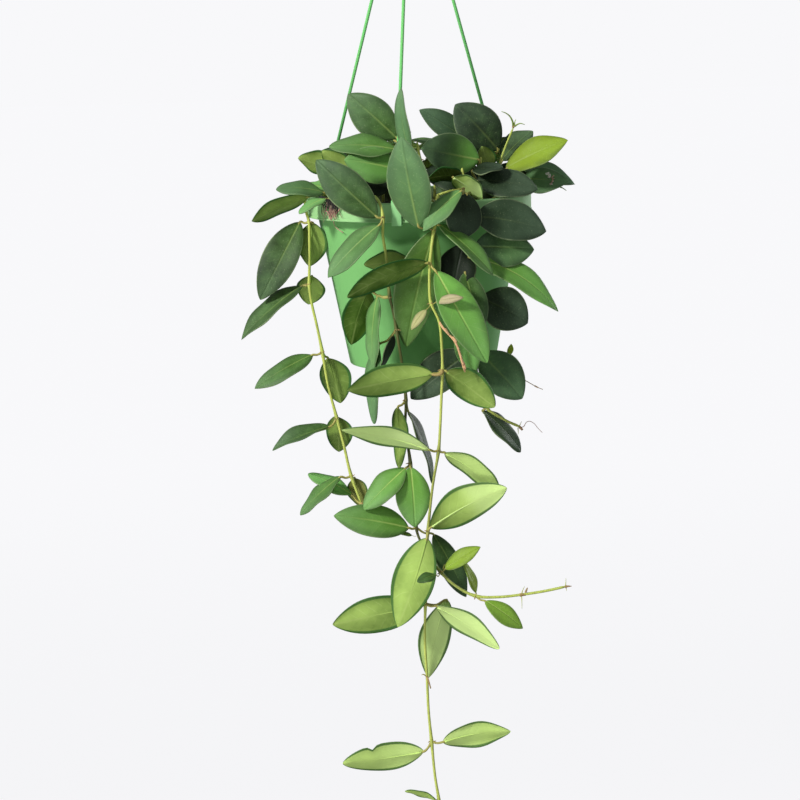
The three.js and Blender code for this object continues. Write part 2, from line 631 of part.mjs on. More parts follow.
function grownStem({ azimuth, ring, rise, lean, trail, pairs, seed, scale = 1 }) {
  const turn = radians(azimuth);
  const out = vector(Math.sin(turn), -Math.cos(turn), 0);
  const across = vector(Math.cos(turn), Math.sin(turn), 0);
  const place = (distance, height) => out.clone().multiplyScalar(distance).setZ(height);
  const ground = soilTop(ring);
  const rimTop = POT.lip + POT.skirt;
  const path = [];
  if (trail) {
    const [over, drop] = [POT.rimRadius + 7, rimTop - 5];
    path.push(place(ring + 5, rimTop + 2), place(POT.rimRadius + 1, rimTop + 5), place(over, drop));
    for (let i = 1; i <= pairs; i += 1) path.push(place(over - 2 * i, drop - (trail * i) / pairs));
  } else {
    for (let i = 0; i <= pairs; i += 1) {
      path.push(place(ring + (lean * i) / pairs, ground + 8 + (rise * i) / pairs));
    }
  }
  const draw = draws(seed);
  const leaves = [];
  const first = path.length - pairs;
  for (let i = first; i < path.length; i += 1) {
    const spin = trail ? 0.25 * (draw() - 0.5) : (i % 2) * 1.4 + 0.5 * (draw() - 0.5);
    for (const sign of [-1, 1]) {
      const heading = across.clone().multiplyScalar(sign * Math.cos(spin));
      heading.addScaledVector(out, sign * Math.sin(spin) + (trail ? 0.3 : 0.2));
      heading.z = trail ? -0.35 - 0.4 * draw() : 0.45 - 0.5 * draw();
      heading.normalize();
      const base = path[i].clone().addScaledVector(heading, GROWN_LEAF.stalk);
      const length = scale * (GROWN_LEAF.longest - GROWN_LEAF.spread * draw());
      const tip = base.clone().addScaledVector(heading, length);
      const width = scale * (GROWN_LEAF.widest - GROWN_LEAF.narrowing * draw());
      const face = trail ? out.clone().setZ(0.5) : vector(0, 0, 1).addScaledVector(out, 0.5);
      leaves.push({ start: path[i], base, tip, width, face, shape: { plain: true } });
    }
  }
  const foot = place(ring, 0);
  return { foot: [foot.x, foot.y], shoots: [{ path, leaves }] };
}

function sightedStem({ foot, ...shoots }) {
  return {
    foot,
    shoots: Object.values(shoots).map(({ path, leaves }) => {
      const places = path.map(sighted);
      return {
        path: places,
        leaves: Object.values(leaves).map(({ node, base, tip, width, face, ...shape }) => ({
          start: places[node],
          base: sighted(base),
          tip: sighted(tip),
          width,
          face: vector(face[0], -face[1], face[2]),
          shape,
        })),
      };
    }),
  };
}

// A leafy stem in one solid: stem, side shoots and leaves, rooted straight down into its hole
function leafyStem({ foot, shoots }) {
  const [x, y] = foot;
  const ground = soilTop(Math.hypot(x, y));
  const root = [-SOIL.holeDepth, -ROOT.bend, ROOT.rise].map((level) => vector(x, y, ground + level));
  const pieces = [];
  shoots.forEach(({ path, leaves }, i) => {
    const route = i ? path : [...root, ...path];
    pieces.push(tube(route, i ? STEM.radius * 0.85 : STEM.radius, STEM.sides));
    pieces.push(...leaves.map(leafSkin));
  });
  return filled(joined(pieces));
}

const COLOURS = {
  pot: 0x8fce7c,
  soil: 0x2a221c,
  hanger: 0x7fbf7d,
  vine: 0x4f8a45,
};

function finish(colour, roughness) {
  return new THREE.MeshStandardMaterial({ color: colour, roughness, metalness: 0 });
}

function named(name, solid, material) {
  const mesh = new THREE.Mesh(geometryOf(solid), material);
  mesh.name = name;
  return mesh;
}

const stems = {};
for (const [name, plan] of Object.entries(PLANT)) stems[name] = sightedStem(plan);
for (const [name, plan] of Object.entries(GROWN)) stems[name] = grownStem(plan);

const part = new THREE.Group();
part.name = "potted_hoya";
const sockets = Object.values(STRAND.azimuths).map(strandSocket);
part.add(named("hanger_hook", hook(sockets), finish(COLOURS.hanger, 0.4)));
for (const [side, azimuth] of Object.entries(STRAND.azimuths)) {
  part.add(named(`hanger_strand_${side}`, strand(azimuth), finish(COLOURS.hanger, 0.4)));
}
part.add(named("pot", pot(), finish(COLOURS.pot, 0.45)));
part.add(named("soil", soil(Object.values(stems).map(({ foot }) => foot)), finish(COLOURS.soil, 0.95)));
for (const [name, stem] of Object.entries(stems)) {
  part.add(named(name, leafyStem(stem), finish(COLOURS.vine, 0.45)));
}

export default part;
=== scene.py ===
"""Looks of a potted hoya: fleshy leaves with veins, rooted stems, crumbly soil and moulded plastic."""

import math
import random

import bmesh
import bpy
from bpy.props import FloatProperty, FloatVectorProperty, IntProperty, PointerProperty
from mathutils import Matrix, Vector, noise
from mathutils.geometry import interpolate_bezier


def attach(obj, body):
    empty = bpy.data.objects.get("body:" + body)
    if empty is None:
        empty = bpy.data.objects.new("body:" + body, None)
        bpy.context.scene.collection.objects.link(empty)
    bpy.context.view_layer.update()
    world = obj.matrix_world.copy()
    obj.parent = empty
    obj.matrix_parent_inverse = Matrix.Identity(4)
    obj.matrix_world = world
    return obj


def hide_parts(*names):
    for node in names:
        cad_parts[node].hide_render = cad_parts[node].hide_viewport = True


bl_info = {
    "name": "Potted Hoya",
    "version": (1, 0, 0),
    "blender": (4, 5, 0),
    "location": "View3D > Sidebar > Hoya",
    "description": "Builds a potted hoya with its hanger and a plain studio",
    "category": "Object",
}

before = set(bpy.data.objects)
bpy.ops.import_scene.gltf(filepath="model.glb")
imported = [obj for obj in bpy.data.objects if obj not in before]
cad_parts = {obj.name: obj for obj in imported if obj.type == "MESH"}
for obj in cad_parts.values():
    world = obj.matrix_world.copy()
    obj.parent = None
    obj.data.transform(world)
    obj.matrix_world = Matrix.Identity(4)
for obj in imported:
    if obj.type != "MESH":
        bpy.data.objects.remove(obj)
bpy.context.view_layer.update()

MM = 0.001

# Sizes of the solids that the pieces stand for, in millimetres
LIP = -280.0
SKIRT = 12.0
RIM = 75.0
TOP = 67.6
BASE = 49.0
DEPTH = 99.5
WALL = 1.2
POT_ROUNDING = 0.8
FOOT_WIDTH = 5.0
RECESS = 3.0
FLOOR = 1.6
DRAINS = 6
DRAIN_RADIUS = 3.0
DRAIN_CIRCLE = 27.0
SOIL_EDGE = 1.0
SOIL_CROWN = 5.0
# Heights over the soil of the first three points of a rooted stem
ROOTED = (-24.0, -8.0, 2.5)
STRANDS = {"front": -11.5, "left": -125.0, "right": 129.0}
STRAND_RADIUS = 1.1
CLIP_GAP = 0.3
TAB_WIDTH = 6.5
TAB_THICK = 1.8
TAB_TALL = 14.5
CLIP_FLOOR = 1.6
CLIP_TOE = (5.2, 1.3, 4.0)
CLIP_ROUNDING = 0.35
HOOK_INNER = 10.0
HOOK_WIRE = 2.2
HOOK_BEND = range(-115, 126, 15)
SHANK = ((4.5, 0, -22.5), (0.8, 0, -28), (0, 0, -33), (0, 0, -40))
HUB = dict(top=-37.0, shoulder=-43.0, bottom=-50.0, radius=6.5, neck=3.6, socket=6.0, circle=3.4)
STEM = 0.95
STALK = 0.8
BLADE_MIDDLE = 1.4
BLADE_EDGE = 0.8

# How thick side shoots and the young shoot are next to a stem
SIDE_SHOOT = 0.85
YOUNG_SHOOT = 0.75
# A leaf's arch as a share of its length, and its usual fold in degrees
ARCH = 0.05
FOLD = 8.0
# Shares of half the width: how round the fold is, and where the margin starts to roll down
CREASE = 0.1
CURL_START = 0.6
# Powers of a blade's outline: the first moves its widest place, the second fills out its ends
BROAD_PLACE = 0.92
FULLNESS = 0.72
# How deep a tear is, how much of the margin it takes, and how far along a blade its root's tone reaches
TEAR_DEPTH = 0.3
TEAR_LENGTH = 0.045
ROOT_SHARE = 0.65
# How far a leaf differs by chance from its plan: shares of its length and width, and waves a margin
SWAY = 0.025
TWIST = 0.1
UNEVEN = 0.1
CURLS = (0.4, 1.4)
WAVES = (1.2, 2.2)
# The half width, in millimetres, from which a leaf's waves and stalk have their full size
GROWN_WAVES = 10.0
GROWN_HALF = 9.0
# The stalk's sag, and its sizes and those of the midrib from end to end, as shares
SAG = 0.12
STALK_SIZES = (1.15, 0.9, 1.05, 0.5)
RIB_PLACES = (0.03, 0.15, 0.35, 0.55, 0.75, 0.93)
RIB_SIZES = (0.8, 0.7, 0.58, 0.45, 0.32, 0.15)
# A node's swelling and how many marks of the stem it takes, and how the stem ends
KNUCKLE_SHARE = 0.33
KNUCKLE_REACH = 0.22
STEM_FOOT = 0.9
STEM_TIP = 0.55
# A node's lump next to the stem's size, and the stubs of roots that stand out from it
NODE_SIZE = (1.35, 1.35, 1.8)
STUBS = 2
STUB_LENGTH = (1.2, 2.2)
STUB_SIZES = (0.5, 0.4, 0.15)

# A place of a blade's map that no vein, midrib or margin crosses: stems, stalks and ribs read it
PLAIN_PLACE = (0.5, 0.3)

# The camera of the photograph, by which sighted points are placed
VIEW_DISTANCE = 1531.0
VIEW_HEIGHT = 133.0
VIEW_ACROSS = -16.3
VIEW_PITCH = math.radians(9.62)
VIEW_ROLL = math.radians(1.6)
VIEW_FOCAL = 2297.6
VIEW_CENTRE = 400.0
PICTURE = 800.0
SENSOR = 36.0


def sighted(point):
    """Place of a point that is seen at a picture pixel, so much nearer to the camera than the axis."""
    across, down, near = point
    right = (across - VIEW_CENTRE) / VIEW_FOCAL
    up = (VIEW_CENTRE - down) / VIEW_FOCAL
    level = right * math.cos(VIEW_ROLL) + up * math.sin(VIEW_ROLL)
    rise = up * math.cos(VIEW_ROLL) - right * math.sin(VIEW_ROLL)
    reach = (VIEW_DISTANCE - near) / (math.cos(VIEW_PITCH) + rise * math.sin(VIEW_PITCH))
    height = LIP + VIEW_HEIGHT + reach * (rise * math.cos(VIEW_PITCH) - math.sin(VIEW_PITCH))
    return Vector((VIEW_ACROSS + reach * level, -near, height))


def on_rim(across, down, radius):
    """Place where the sight line of a pixel meets the front of an upright cylinder about the axis."""
    start = sighted((across, down, 0.0))
    step = sighted((across, down, 1.0)) - start
    square = step.x ** 2 + step.y ** 2
    middle = -(start.x * step.x + start.y * step.y) / square
    rest = (radius ** 2 - start.x ** 2 - start.y ** 2) / square + middle ** 2
    return start + step * (middle + math.sqrt(max(0.0, rest)))


def soil_top(distance):
    """Height of the mounded soil at a distance from the axis."""
    share = min(1.0, distance / (TOP - WALL))
    return LIP + SOIL_EDGE + (SOIL_CROWN - SOIL_EDGE) * math.cos(share * math.pi / 2)


def around(azimuth, distance, height):
    """Place at an azimuth from the front, positive to the right."""
    turn = math.radians(azimuth)
    return Vector((distance * math.sin(turn), -distance * math.cos(turn), height))


def leaf(node, base, tip, width, face, tone=0.5, cast=0.0, fold=FOLD, root=None, bow=None, tear=None):
    """A leaf: its stem point, the ends of its blade, its width, the way its upper face looks as right,
    toward the camera and up, how light it is, with painted light above 1 and painted shade below 0, and
    its cast from bluish, -1, to olive brown, 1. It may be folded by so many degrees, be lighter or darker
    at its root as painted light and shade, have a sideways bow as a share of its length, and be torn at a
    place along its first margin."""
    made = dict(node=node, base=base, tip=tip, width=width, face=face, tone=tone, cast=cast, fold=fold)
    made.update(root=tone if root is None else root, bow=bow, tear=tear)
    return made


def shoot(path, **leaves):
    """A shoot: the points of its path, and its leaves by name."""
    return path, leaves


def standing(foot, **shoots):
    """A leafy stem: where it stands in the soil, and its shoots, the rooted one first."""
    return foot, shoots


# Every leafy stem, foremost first. Paths and leaf ends are sighted points: picture across, picture
# down, and millimetres nearer than the pot's axis.
PLANT = {
    "vine_main": standing(
        (10, -50),
        stem=shoot(
            [(438, 195, 66), (438, 205, 79), (437, 222, 81), (434, 230, 83), (430, 262.7, 88),
             (429.5, 288, 91), (431, 303, 92), (439.3, 322, 92), (441.9, 350, 91), (442.5, 370, 91),
             (441.5, 395, 90), (440.2, 426, 90), (438.6, 450.5, 90), (432.7, 486, 90), (428, 530.8, 90),
             (425.5, 570, 89), (425.4, 604, 88), (424.8, 640, 86), (427, 677, 85), (428.5, 710, 84),
             (431.6, 741.6, 83), (435, 776, 82), (438.8, 800, 82), (440, 822, 82)],
            frontmost=leaf(2, (419, 227, 90), (401, 137, 97), 29, (-0.35, 0.9, 0.25), 0.46, -0.3),
            over_right=leaf(2, (439, 225, 88), (493.5, 276, 96), 18, (0.1, 0.4, 0.9), 0.95, 0.15, fold=22),
            long_behind=leaf(3, (434, 230, 82), (406, 347, 74), 28, (0, 1, 0.1), 0.62, 0.35),
            brown_behind=leaf(3, (412, 262, 73), (364, 265, 72), 21, (0, -0.75, 0.6), 0.38, 0.15),
            first_left=leaf(4, (427.4, 263, 91), (347, 297, 98), 24, (-0.1, -0.72, 0.7), 0.1, 0),
            first_right=leaf(4, (435.5, 271, 93), (487, 363, 97), 25, (0.2, 0.95, 0.2), 1.3, 0.1, root=1.6),
            young_right=leaf(6, (435.8, 302.4, 98), (463.6, 297.7, 104), 6.5, (0.1, 0.85, 0.5), 1, 1.9),
            young_left=leaf(6, (426.6, 309.5, 94), (411.3, 330, 97), 6.5, (-0.3, 0.8, 0.4), 0.5, 1.7),
            fourth_left=leaf(9, (433, 374, 93), (347, 390.5, 98), 25, (0, -0.9, 0.4), 0.32, 0, root=0.62),
            fourth_right=leaf(9, (446, 371, 92), (495, 407, 92), 26, (0.1, -0.82, 0.5), 0.35, 0.1,
                              root=0.05),
            fifth_left=leaf(12, (430, 450, 93), (341.6, 430.5, 100), 24, (0, -0.62, 0.78), 1, 0, root=1.25),
            fifth_right=leaf(12, (444.5, 452.5, 89), (500, 495, 85), 22, (0.2, -0.66, 0.7), 0.85, 0),
            sixth_right=leaf(14, (430, 528, 93), (507, 488, 96), 26, (0, -0.95, 0.2), 0.95, 0, root=0.1),
            sixth_left=leaf(14, (427, 538, 93), (398, 627, 98), 28, (0.2, -0.95, 0), 0.5, 0),
            seventh_left=leaf(16, (420, 606, 87), (332.5, 624.5, 86), 27, (0, -0.97, 0.2), 0.5, 0,
                              root=0.05),
            seventh_right=leaf(16, (436, 606, 90), (499.5, 648.6, 94), 23, (0.2, -0.74, 0.6), 1.05, 0),
            seventh_behind=leaf(16, (447, 600, 82), (429, 678, 79), 23, (-0.3, -0.8, 0.2), 1.05, 0),
            ninth_left=leaf(20, (424, 751.5, 84), (342.7, 763.5, 88), 24, (0, -0.93, 0.35), 0.78, 0,
                            root=0.92, bow=0.05, tear=0.62),
            ninth_right=leaf(20, (443, 742, 84), (510.7, 731, 88), 21, (0, -0.93, 0.35), 0.78, 0,
                             root=0.92),
            low_left=leaf(22, (436, 800, 83), (405, 791, 86), 9, (0, -0.6, 0.75), 0.7, 0),
            end_left=leaf(23, (436.5, 827, 83), (426, 849, 85), 7, (-0.4, 0.8, 0.3), 0.6, 0),
            end_right=leaf(23, (443.5, 826, 83), (456, 845, 84), 7, (0.4, 0.8, 0.3), 0.6, 0),
        ),
        side=shoot(
            [(438, 195, 66), (450, 191, 67), (463, 189, 66)],
            over_rim=leaf(2, (461.5, 191, 91), (423, 231.5, 97), 19, (-0.56, 0.62, 0.52), 0.68, -0.4,
                          root=0.85),
            over_rim_behind=leaf(2, (467, 194, 80), (459, 240, 88), 27, (0.45, 0.85, 0.25), -0.3, 0),
        ),
        old_flower_stalk=shoot(
            [(439.3, 322, 92), (444, 329, 97), (454.6, 341, 101), (459, 351, 101), (465, 372, 100)],
        ),
    ),
    "vine_centre": standing(
        (-28, -47),
        stem=shoot(
            [(374, 197, 63), (379.6, 203, 79), (383, 217.5, 83), (382.8, 235, 84), (386, 256, 83),
             (389.7, 297, 80), (393, 311, 79), (396.3, 330, 78), (402, 364, 77), (406, 400, 76),
             (405.4, 426, 74), (410.4, 463, 72), (416.2, 527.5, 72), (419.5, 539, 72), (430, 558, 77),
             (440.5, 572, 86), (455.7, 586, 89), (475.4, 596, 90), (498.6, 597, 91), (521.8, 594.6, 91),
             (545, 591, 91), (566.4, 586.4, 91)],
            front_left=leaf(2, (377, 217, 84), (316, 160, 74), 25, (-0.25, 0.85, 0.45), 0.28, 0.05),
            grey_left=leaf(2, (379.6, 225, 86), (328, 278, 88), 23, (-0.2, 0.52, 0.8), 0.6, -0.3),
            olive_hanging=leaf(5, (368, 290, 76), (351.5, 345, 70), 22, (-0.2, -0.8, 0.2), 0, 0.05),
            light_hanging=leaf(5, (378, 296, 78), (375, 372, 74), 21, (-0.85, 0.43, 0.1), 0.85, -0.45),
            blue_hanging=leaf(7, (378, 345, 73), (374, 424, 69), 21, (-0.85, 0.46, 0), 0.6, -0.6),
            dark_hanging=leaf(7, (393, 334, 75), (380, 370, 73), 16, (0.9, 0.35, 0), -0.3, 0),
            olive_low=leaf(9, (398, 407, 77), (399, 468, 75), 19, (0.8, -0.55, 0), 0.2, 0.1),
            dark_low=leaf(9, (408, 411, 73), (432.5, 484, 66), 19, (0.9, 0.25, 0.3), 0.15, 0),
            pair_left=leaf(11, (406, 468, 75), (364, 510, 82), 21, (-0.3, 0.66, 0.6), 1.05, -0.1),
            pair_right=leaf(11, (410.5, 467, 76), (415, 527.5, 82), 23, (0, 1, 0.2), 1.1, 0.05),
            long_left=leaf(12, (409, 528, 76), (333.6, 516, 84), 23, (-0.1, 0.83, 0.5), 0.95, 0),
            dark_right=leaf(12, (433, 534, 68), (466.4, 597, 62), 17, (0.3, 0.8, 0.2), 0.3, 0.05),
            branch_left=leaf(15, (436, 575, 102), (417, 582, 110), 8, (-0.2, 0.7, 0.6), 0.45, 0.3),
            branch_right=leaf(15, (445, 569, 89), (480.7, 547, 92), 12, (0.2, 0.6, 0.7), 0.8, 0.7),
            branch_up=leaf(17, (476, 593, 90), (463, 561, 86), 11, (0.8, 0.45, 0.2), 1.2, 0.9),
            branch_down=leaf(17, (485, 601, 92), (523, 628.6, 96), 15, (0.1, 0.6, 0.75), 1.3, 0.6),
        ),
    ),
    "vine_left": standing(
        (-46, -18),
        stem=shoot(
            [(337, 199, 22), (329, 196, 22), (313, 193, 21), (305.5, 200, 20), (306, 211, 21),
             (309, 222, 23), (309.5, 238, 25), (309.5, 264, 27), (309.3, 284, 28), (311.4, 302, 29),
             (316.5, 324, 30), (322.3, 352, 31), (328, 385, 32), (336.8, 418, 33), (343.8, 445, 34),
             (351.2, 476, 35), (361.7, 504, 36)],
            inner_light=leaf(1, (330, 190, 14), (304, 186, 3), 20, (0, 0.4, 0.9), 1.4, -0.5),
            inner_dark=leaf(1, (324, 193, 26), (276, 190, 32), 22, (0, 0.4, 0.9), 0.5, -0.3),
            inner_edge=leaf(1, (326, 199, 42), (299, 214, 50), 14, (0, 0.2, 1), 1.5, -0.6),
            outer_olive=leaf(2, (308, 197, 27), (251.5, 221, 36), 24, (0, -0.55, 0.83), 0.3, 0.05),
            first_left=leaf(5, (300, 222, 22), (260.4, 300, 30), 25, (-0.3, 1, 0.1), 0.15, 0.3, root=0.4),
            first_right=leaf(5, (313, 223, 22), (309, 266.5, 18), 21, (0.2, -0.95, 0), 0.35, 0.1),
            second_left=leaf(8, (303, 285.5, 26), (241.3, 340, 34), 24, (-0.3, 0.4, 0.85), 0.3, 0.3,
                             fold=20),
            second_right=leaf(8, (312, 276, 20), (309, 304.5, 17), 20, (0.2, -0.9, 0.1), 0.5, 0.05),
            third_left=leaf(11, (312.7, 355, 32), (254.7, 389, 40), 19, (-0.2, 0.57, 0.8), 0.5, 0),
            third_right=leaf(11, (328, 358, 26), (341, 403, 24), 22, (0.2, -0.9, 0.1), 0.2, 0.05),
            fourth_left=leaf(13, (329.7, 427, 36), (272.3, 450.5, 42), 20, (-0.2, 0.4, 0.9), 0.35, 0,
                             fold=30),
            fourth_right=leaf(13, (335.5, 416, 30), (339, 452, 28), 19, (0.2, -0.87, 0.2), 0.2, 0.15),
            fifth_left=leaf(15, (340.6, 477, 38), (300.5, 515.5, 43), 18, (-0.3, 0.36, 0.85), 0.65, -0.1),
            fifth_right=leaf(15, (355, 478, 32), (360, 506, 31), 15, (0.2, -0.9, 0.2), 0.45, 1.1),
            end_left=leaf(16, (352, 495, 33), (308, 474, 26), 16, (0, 0.4, 0.9), 1.9, -0.5),
        ),
    ),
    "vine_right": standing(
        (34, -45),
        stem=shoot(
            [(470, 193, 57), (467, 201, 70.5), (465, 214, 73), (464, 235, 73.5), (465, 252, 73),
             (469, 280, 71), (472, 300, 69), (474, 330, 66), (475, 350, 65), (478, 380, 64), (486, 407, 63),
             (505, 420, 64), (520.6, 427, 65)],
            top_right=leaf(2, (474, 217, 77), (546.4, 231, 68), 29, (0.2, 0.88, 0.45), 0, -0.05),
            second_dark=leaf(4, (474, 247, 77), (534, 249, 68), 27, (0.2, 0.87, 0.4), 0.55, -0.25, root=0),
            second_bright=leaf(4, (472, 258, 83), (558.3, 312, 82), 22, (0.2, 0.66, 0.75), 1.6, 0.2,
                               root=0.7, bow=-0.08),
            inner_dark=leaf(3, (463, 244, 74), (452, 300, 79), 26, (-0.15, 0.97, 0.1), -0.75, 0),
            green_strip=leaf(5, (465, 272, 80), (483, 328, 80), 20, (-0.2, 0.9, 0.2), 0.4, 0.1),
            third_dark=leaf(6, (480, 298, 70), (528, 323, 64), 29, (0.3, 0.95, 0.1), -0.03, 0),
            blue_strip=leaf(6, (466, 318, 76), (474, 375.5, 76), 20, (-0.5, 0.8, 0), 1.5, -0.3),
            fourth_dark=leaf(8, (480, 353, 65), (522, 399, 60), 28, (0.3, 0.95, 0), 0.3, -0.4),
            fourth_left=leaf(8, (470, 352, 68), (411, 399, 62), 26, (-0.2, 0.95, 0.1), 0.03, 0),
            fifth_dark=leaf(10, (482.5, 411, 61), (521, 452, 58), 20, (0.6, 0.48, 0.6), 0.2, 0),
        ),
    ),
    "crown_front": standing(
        (2, -40),
        stem=shoot(
            [(412, 195, 44), (410, 180, 47), (406, 169, 49), (402, 154, 47), (401, 141, 46),
             (404, 131, 46)],
            bright_left=leaf(2, (400, 170, 53), (344, 160, 60), 25, (0, 0.95, 0.3), 1.2, -0.2),
            olive_left=leaf(3, (396, 150, 52), (329, 147, 52), 23, (0, 0.6, 0.8), 0.75, -0.1),
            high_left=leaf(4, (397, 138, 45), (348, 94, 38), 26, (-0.3, 0.9, 0.3), 0.36, 0.05),
        ),
    ),
    "crown_centre": standing(
        (12, -34),
        stem=shoot(
            [(424, 193, 50), (423, 175, 62), (420, 160, 68), (417, 142, 68)],
            edge_on=leaf(2, (413, 158, 70), (401, 88, 67), 13, (-0.75, 0.65, 0.1), 0.35, -0.5, fold=14),
        ),
    ),
    "crown_left": standing(
        (-40, -2),
        stem=shoot(
            [(353, 194, 2), (354, 182, 4), (352, 170, 4), (351, 160, 2)],
            olive_out=leaf(1, (337, 171, 0), (298, 158, -4), 20, (0.2, -0.8, 0.5), 0.4, 0.2),
            brown_front=leaf(1, (349, 174, 9), (322, 151, 12), 18, (0.2, -0.75, 0.5), 0.4, 0.25),
            dark_edge=leaf(3, (347, 157, -2), (322, 151, -8), 18, (0, 0.15, 1), 0.1, 0),
        ),
    ),
    "crown_right_front": standing(
        (24, -36),
        stem=shoot(
            [(462, 195, 44), (463, 184, 52), (463, 176, 54), (462, 168, 54)],
            yellow_underside=leaf(1, (453, 177, 61), (482, 199, 54), 18, (0.3, -0.8, 0.5), 1.1, 0,
                                  root=0.5),
            brown_underside=leaf(2, (463, 176, 58), (427, 178, 62), 21, (0, -0.55, 0.85), -0.4, 0.2),
        ),
    ),
    "crown_right": standing(
        (42, -22),
        stem=shoot(
            [(481, 195, 28), (480, 182, 33), (480, 168, 34), (481, 157, 32)],
            near_black=leaf(1, (475, 181, 42), (537.7, 189, 48), 24, (0.2, 0.76, 0.6), -0.05, 0),
            grey_flat=leaf(1, (472, 171, 42), (503, 168, 48), 20, (0, 0.33, 0.95), -0.35, 0),
            high_left=leaf(2, (479, 160, 38), (421, 148, 46), 29, (0.1, 0.92, 0.35), 0.3, -0.1, root=1.6),
            shaded=leaf(1, (484, 184, 27), (423, 173, 24), 26, (0, 0.8, 0.6), -0.3, 0),
        ),
    ),
    "crown_young": standing(
        (50, -6),
        stem=shoot(
            [(498, 193, 12), (499, 178, 17), (499.5, 165, 18), (505, 148, 18), (513.5, 127, 20)],
            bright_right=leaf(1, (506, 169, 22), (568, 140.4, 30), 24, (0.1, 0.69, 0.7), 0.65, 0.75,
                              root=0.1),
            small_brown=leaf(1, (490, 172, 23), (482, 146, 27), 15, (-0.3, -0.8, 0.2), 0.3, 0.4),
            curled_right=leaf(2, (502, 161, 12), (533, 131, 6), 19, (0.1, 0.6, 0.7), 0.22, 0),
        ),
    ),
    "crown_far_right": standing(
        (48, 14),
        stem=shoot(
            [(510, 191, -10), (516, 179, -8), (521, 170, -8)],
            dark_right=leaf(1, (521, 179, 4), (567.5, 182, 14), 21, (0.1, 0.8, 0.6), 0.4, -0.5),
            grey_right=leaf(2, (519, 166, -8), (575, 184.6, -6), 20, (0.2, 0.6, 0.78), 0.35, -0.6),
        ),
    ),
    "crown_back_right": standing(
        (30, -4),
        stem=shoot(
            [(470, 189, 4), (476, 172, 6), (482, 158, 6), (484, 148, 5)],
            high_dark=leaf(2, (498, 150, 12), (455, 104.5, 12), 31, (0.1, 0.95, 0.3), 0.12, 0),
            high_grey=leaf(2, (471, 145, 2), (419, 110, 8), 18, (-0.1, 0.85, 0.45), 0.05, -0.35),
        ),
    ),
}



# Stems that the front view hides, grown by one rule in opposite pairs of leaves, with the rule's sizes
GROWN = {
    "crown_middle": dict(azimuth=220, ring=12, rise=34, lean=6, pairs=3, seed=33),
    "crown_back_left": dict(azimuth=-150, ring=48, rise=24, lean=16, pairs=2, seed=3, scale=0.75),
    "crown_side_left": dict(azimuth=-115, ring=52, rise=16, lean=6, pairs=2, seed=4, scale=0.6),
    "crown_side_right": dict(azimuth=110, ring=38, rise=24, lean=12, pairs=2, seed=12, scale=0.8),
    "crown_back": dict(azimuth=165, ring=44, rise=28, lean=8, pairs=2, seed=23, scale=0.8),
    "crown_back_outer": dict(azimuth=135, ring=54, rise=20, lean=6, pairs=2, seed=19, scale=0.7),
    "trail_back_left": dict(azimuth=-166, ring=58, trail=78, pairs=4, seed=1, scale=0.8),
    "trail_back_right": dict(azimuth=156, ring=58, trail=62, pairs=3, seed=2, scale=0.8),
}
LONGEST = 48.0
SPREAD = 12.0
WIDEST = 25.0
NARROWING = 5.0
GROWN_STALK = 6.0
DRAW_STEP = 7919
DRAW_FACTOR = 16807
DRAW_RANGE = 2147483647

# Crumbs: how far they stay from the pot's wall, and their sizes
CRUMB_MARGIN = 3.5
CRUMB_SIZES = (0.9, 2.6)

# Where the random draws of each group start
CRUMB_SEED = 5
TUFT_SEED = 7
VINE_SEED = 11
CROWN_SEED = 41
HIDDEN_SEED = 71
TINY_SEED = 900

# Material places of a leafy stem
UPPER, UNDER, BARK, ROOT = range(4)


def draws(seed):
    """A repeatable draw between 0 and 1."""
    state = seed * DRAW_STEP
    while True:
        state = (state * DRAW_FACTOR) % DRAW_RANGE
        yield state / DRAW_RANGE


def linear(red, green, blue):
    """A colour as the eye names it, 0 to 255, as the linear values that Blender takes."""
    shares = [channel / 255 for channel in (red, green, blue)]
    return [s / 12.92 if s <= 0.04045 else ((s + 0.055) / 1.055) ** 2.4 for s in shares]


def paint(name, description, *colour):
    """A colour that the user may change, with its default as the eye names it."""
    return FloatVectorProperty(name=name, description=description, default=linear(*colour), subtype="COLOR")


class HoyaLeafSettings(bpy.types.PropertyGroup):
    around: IntProperty(name="Around", description="Faces round a blade", default=26, min=8)
    along: IntProperty(name="Along", description="Faces along a blade", default=26, min=8)
    curl: FloatProperty(
        name="Curl", description="How far a margin rolls down, as a share of half the width", default=0.1
    )
    wave: FloatProperty(
        name="Wave", description="Rise and fall of the margins", default=0.0007, unit="LENGTH"
    )
    deep: paint("Deep", "Dark upper side", 32, 48, 27)
    fresh: paint("Fresh", "Light upper side", 98, 148, 56)
    rib: paint("Rib", "Midrib and veins", 176, 200, 110)
    pale: paint("Pale", "Light underside", 200, 232, 122)
    olive: paint("Olive", "Dark underside", 62, 94, 24)


class HoyaStemSettings(bpy.types.PropertyGroup):
    sides: IntProperty(name="Sides", description="Faces round a stem", default=10, min=5)
    steps: IntProperty(name="Steps", description="Rings from one point to the next", default=4, min=1)
    knuckle: FloatProperty(
        name="Knuckle", description="How much a node swells", default=0.0012, unit="LENGTH"
    )
    green: paint("Green", "Young bark", 186, 200, 94)
    brown: paint("Brown", "Old bark, stalks and nodes", 164, 138, 86)


class HoyaPotSettings(bpy.types.PropertyGroup):
    steps: IntProperty(name="Steps", description="Faces round the pot", default=96, min=24)
    plastic: paint("Plastic", "Pot plastic", 124, 184, 112)
    hanger: paint("Hanger", "Hanger plastic", 108, 196, 112)


class HoyaSoilSettings(bpy.types.PropertyGroup):
    crumbs: IntProperty(name="Crumbs", description="Bark and grit on the soil", default=260, min=0)
    earth: paint("Earth", "Moist soil", 40, 32, 25)


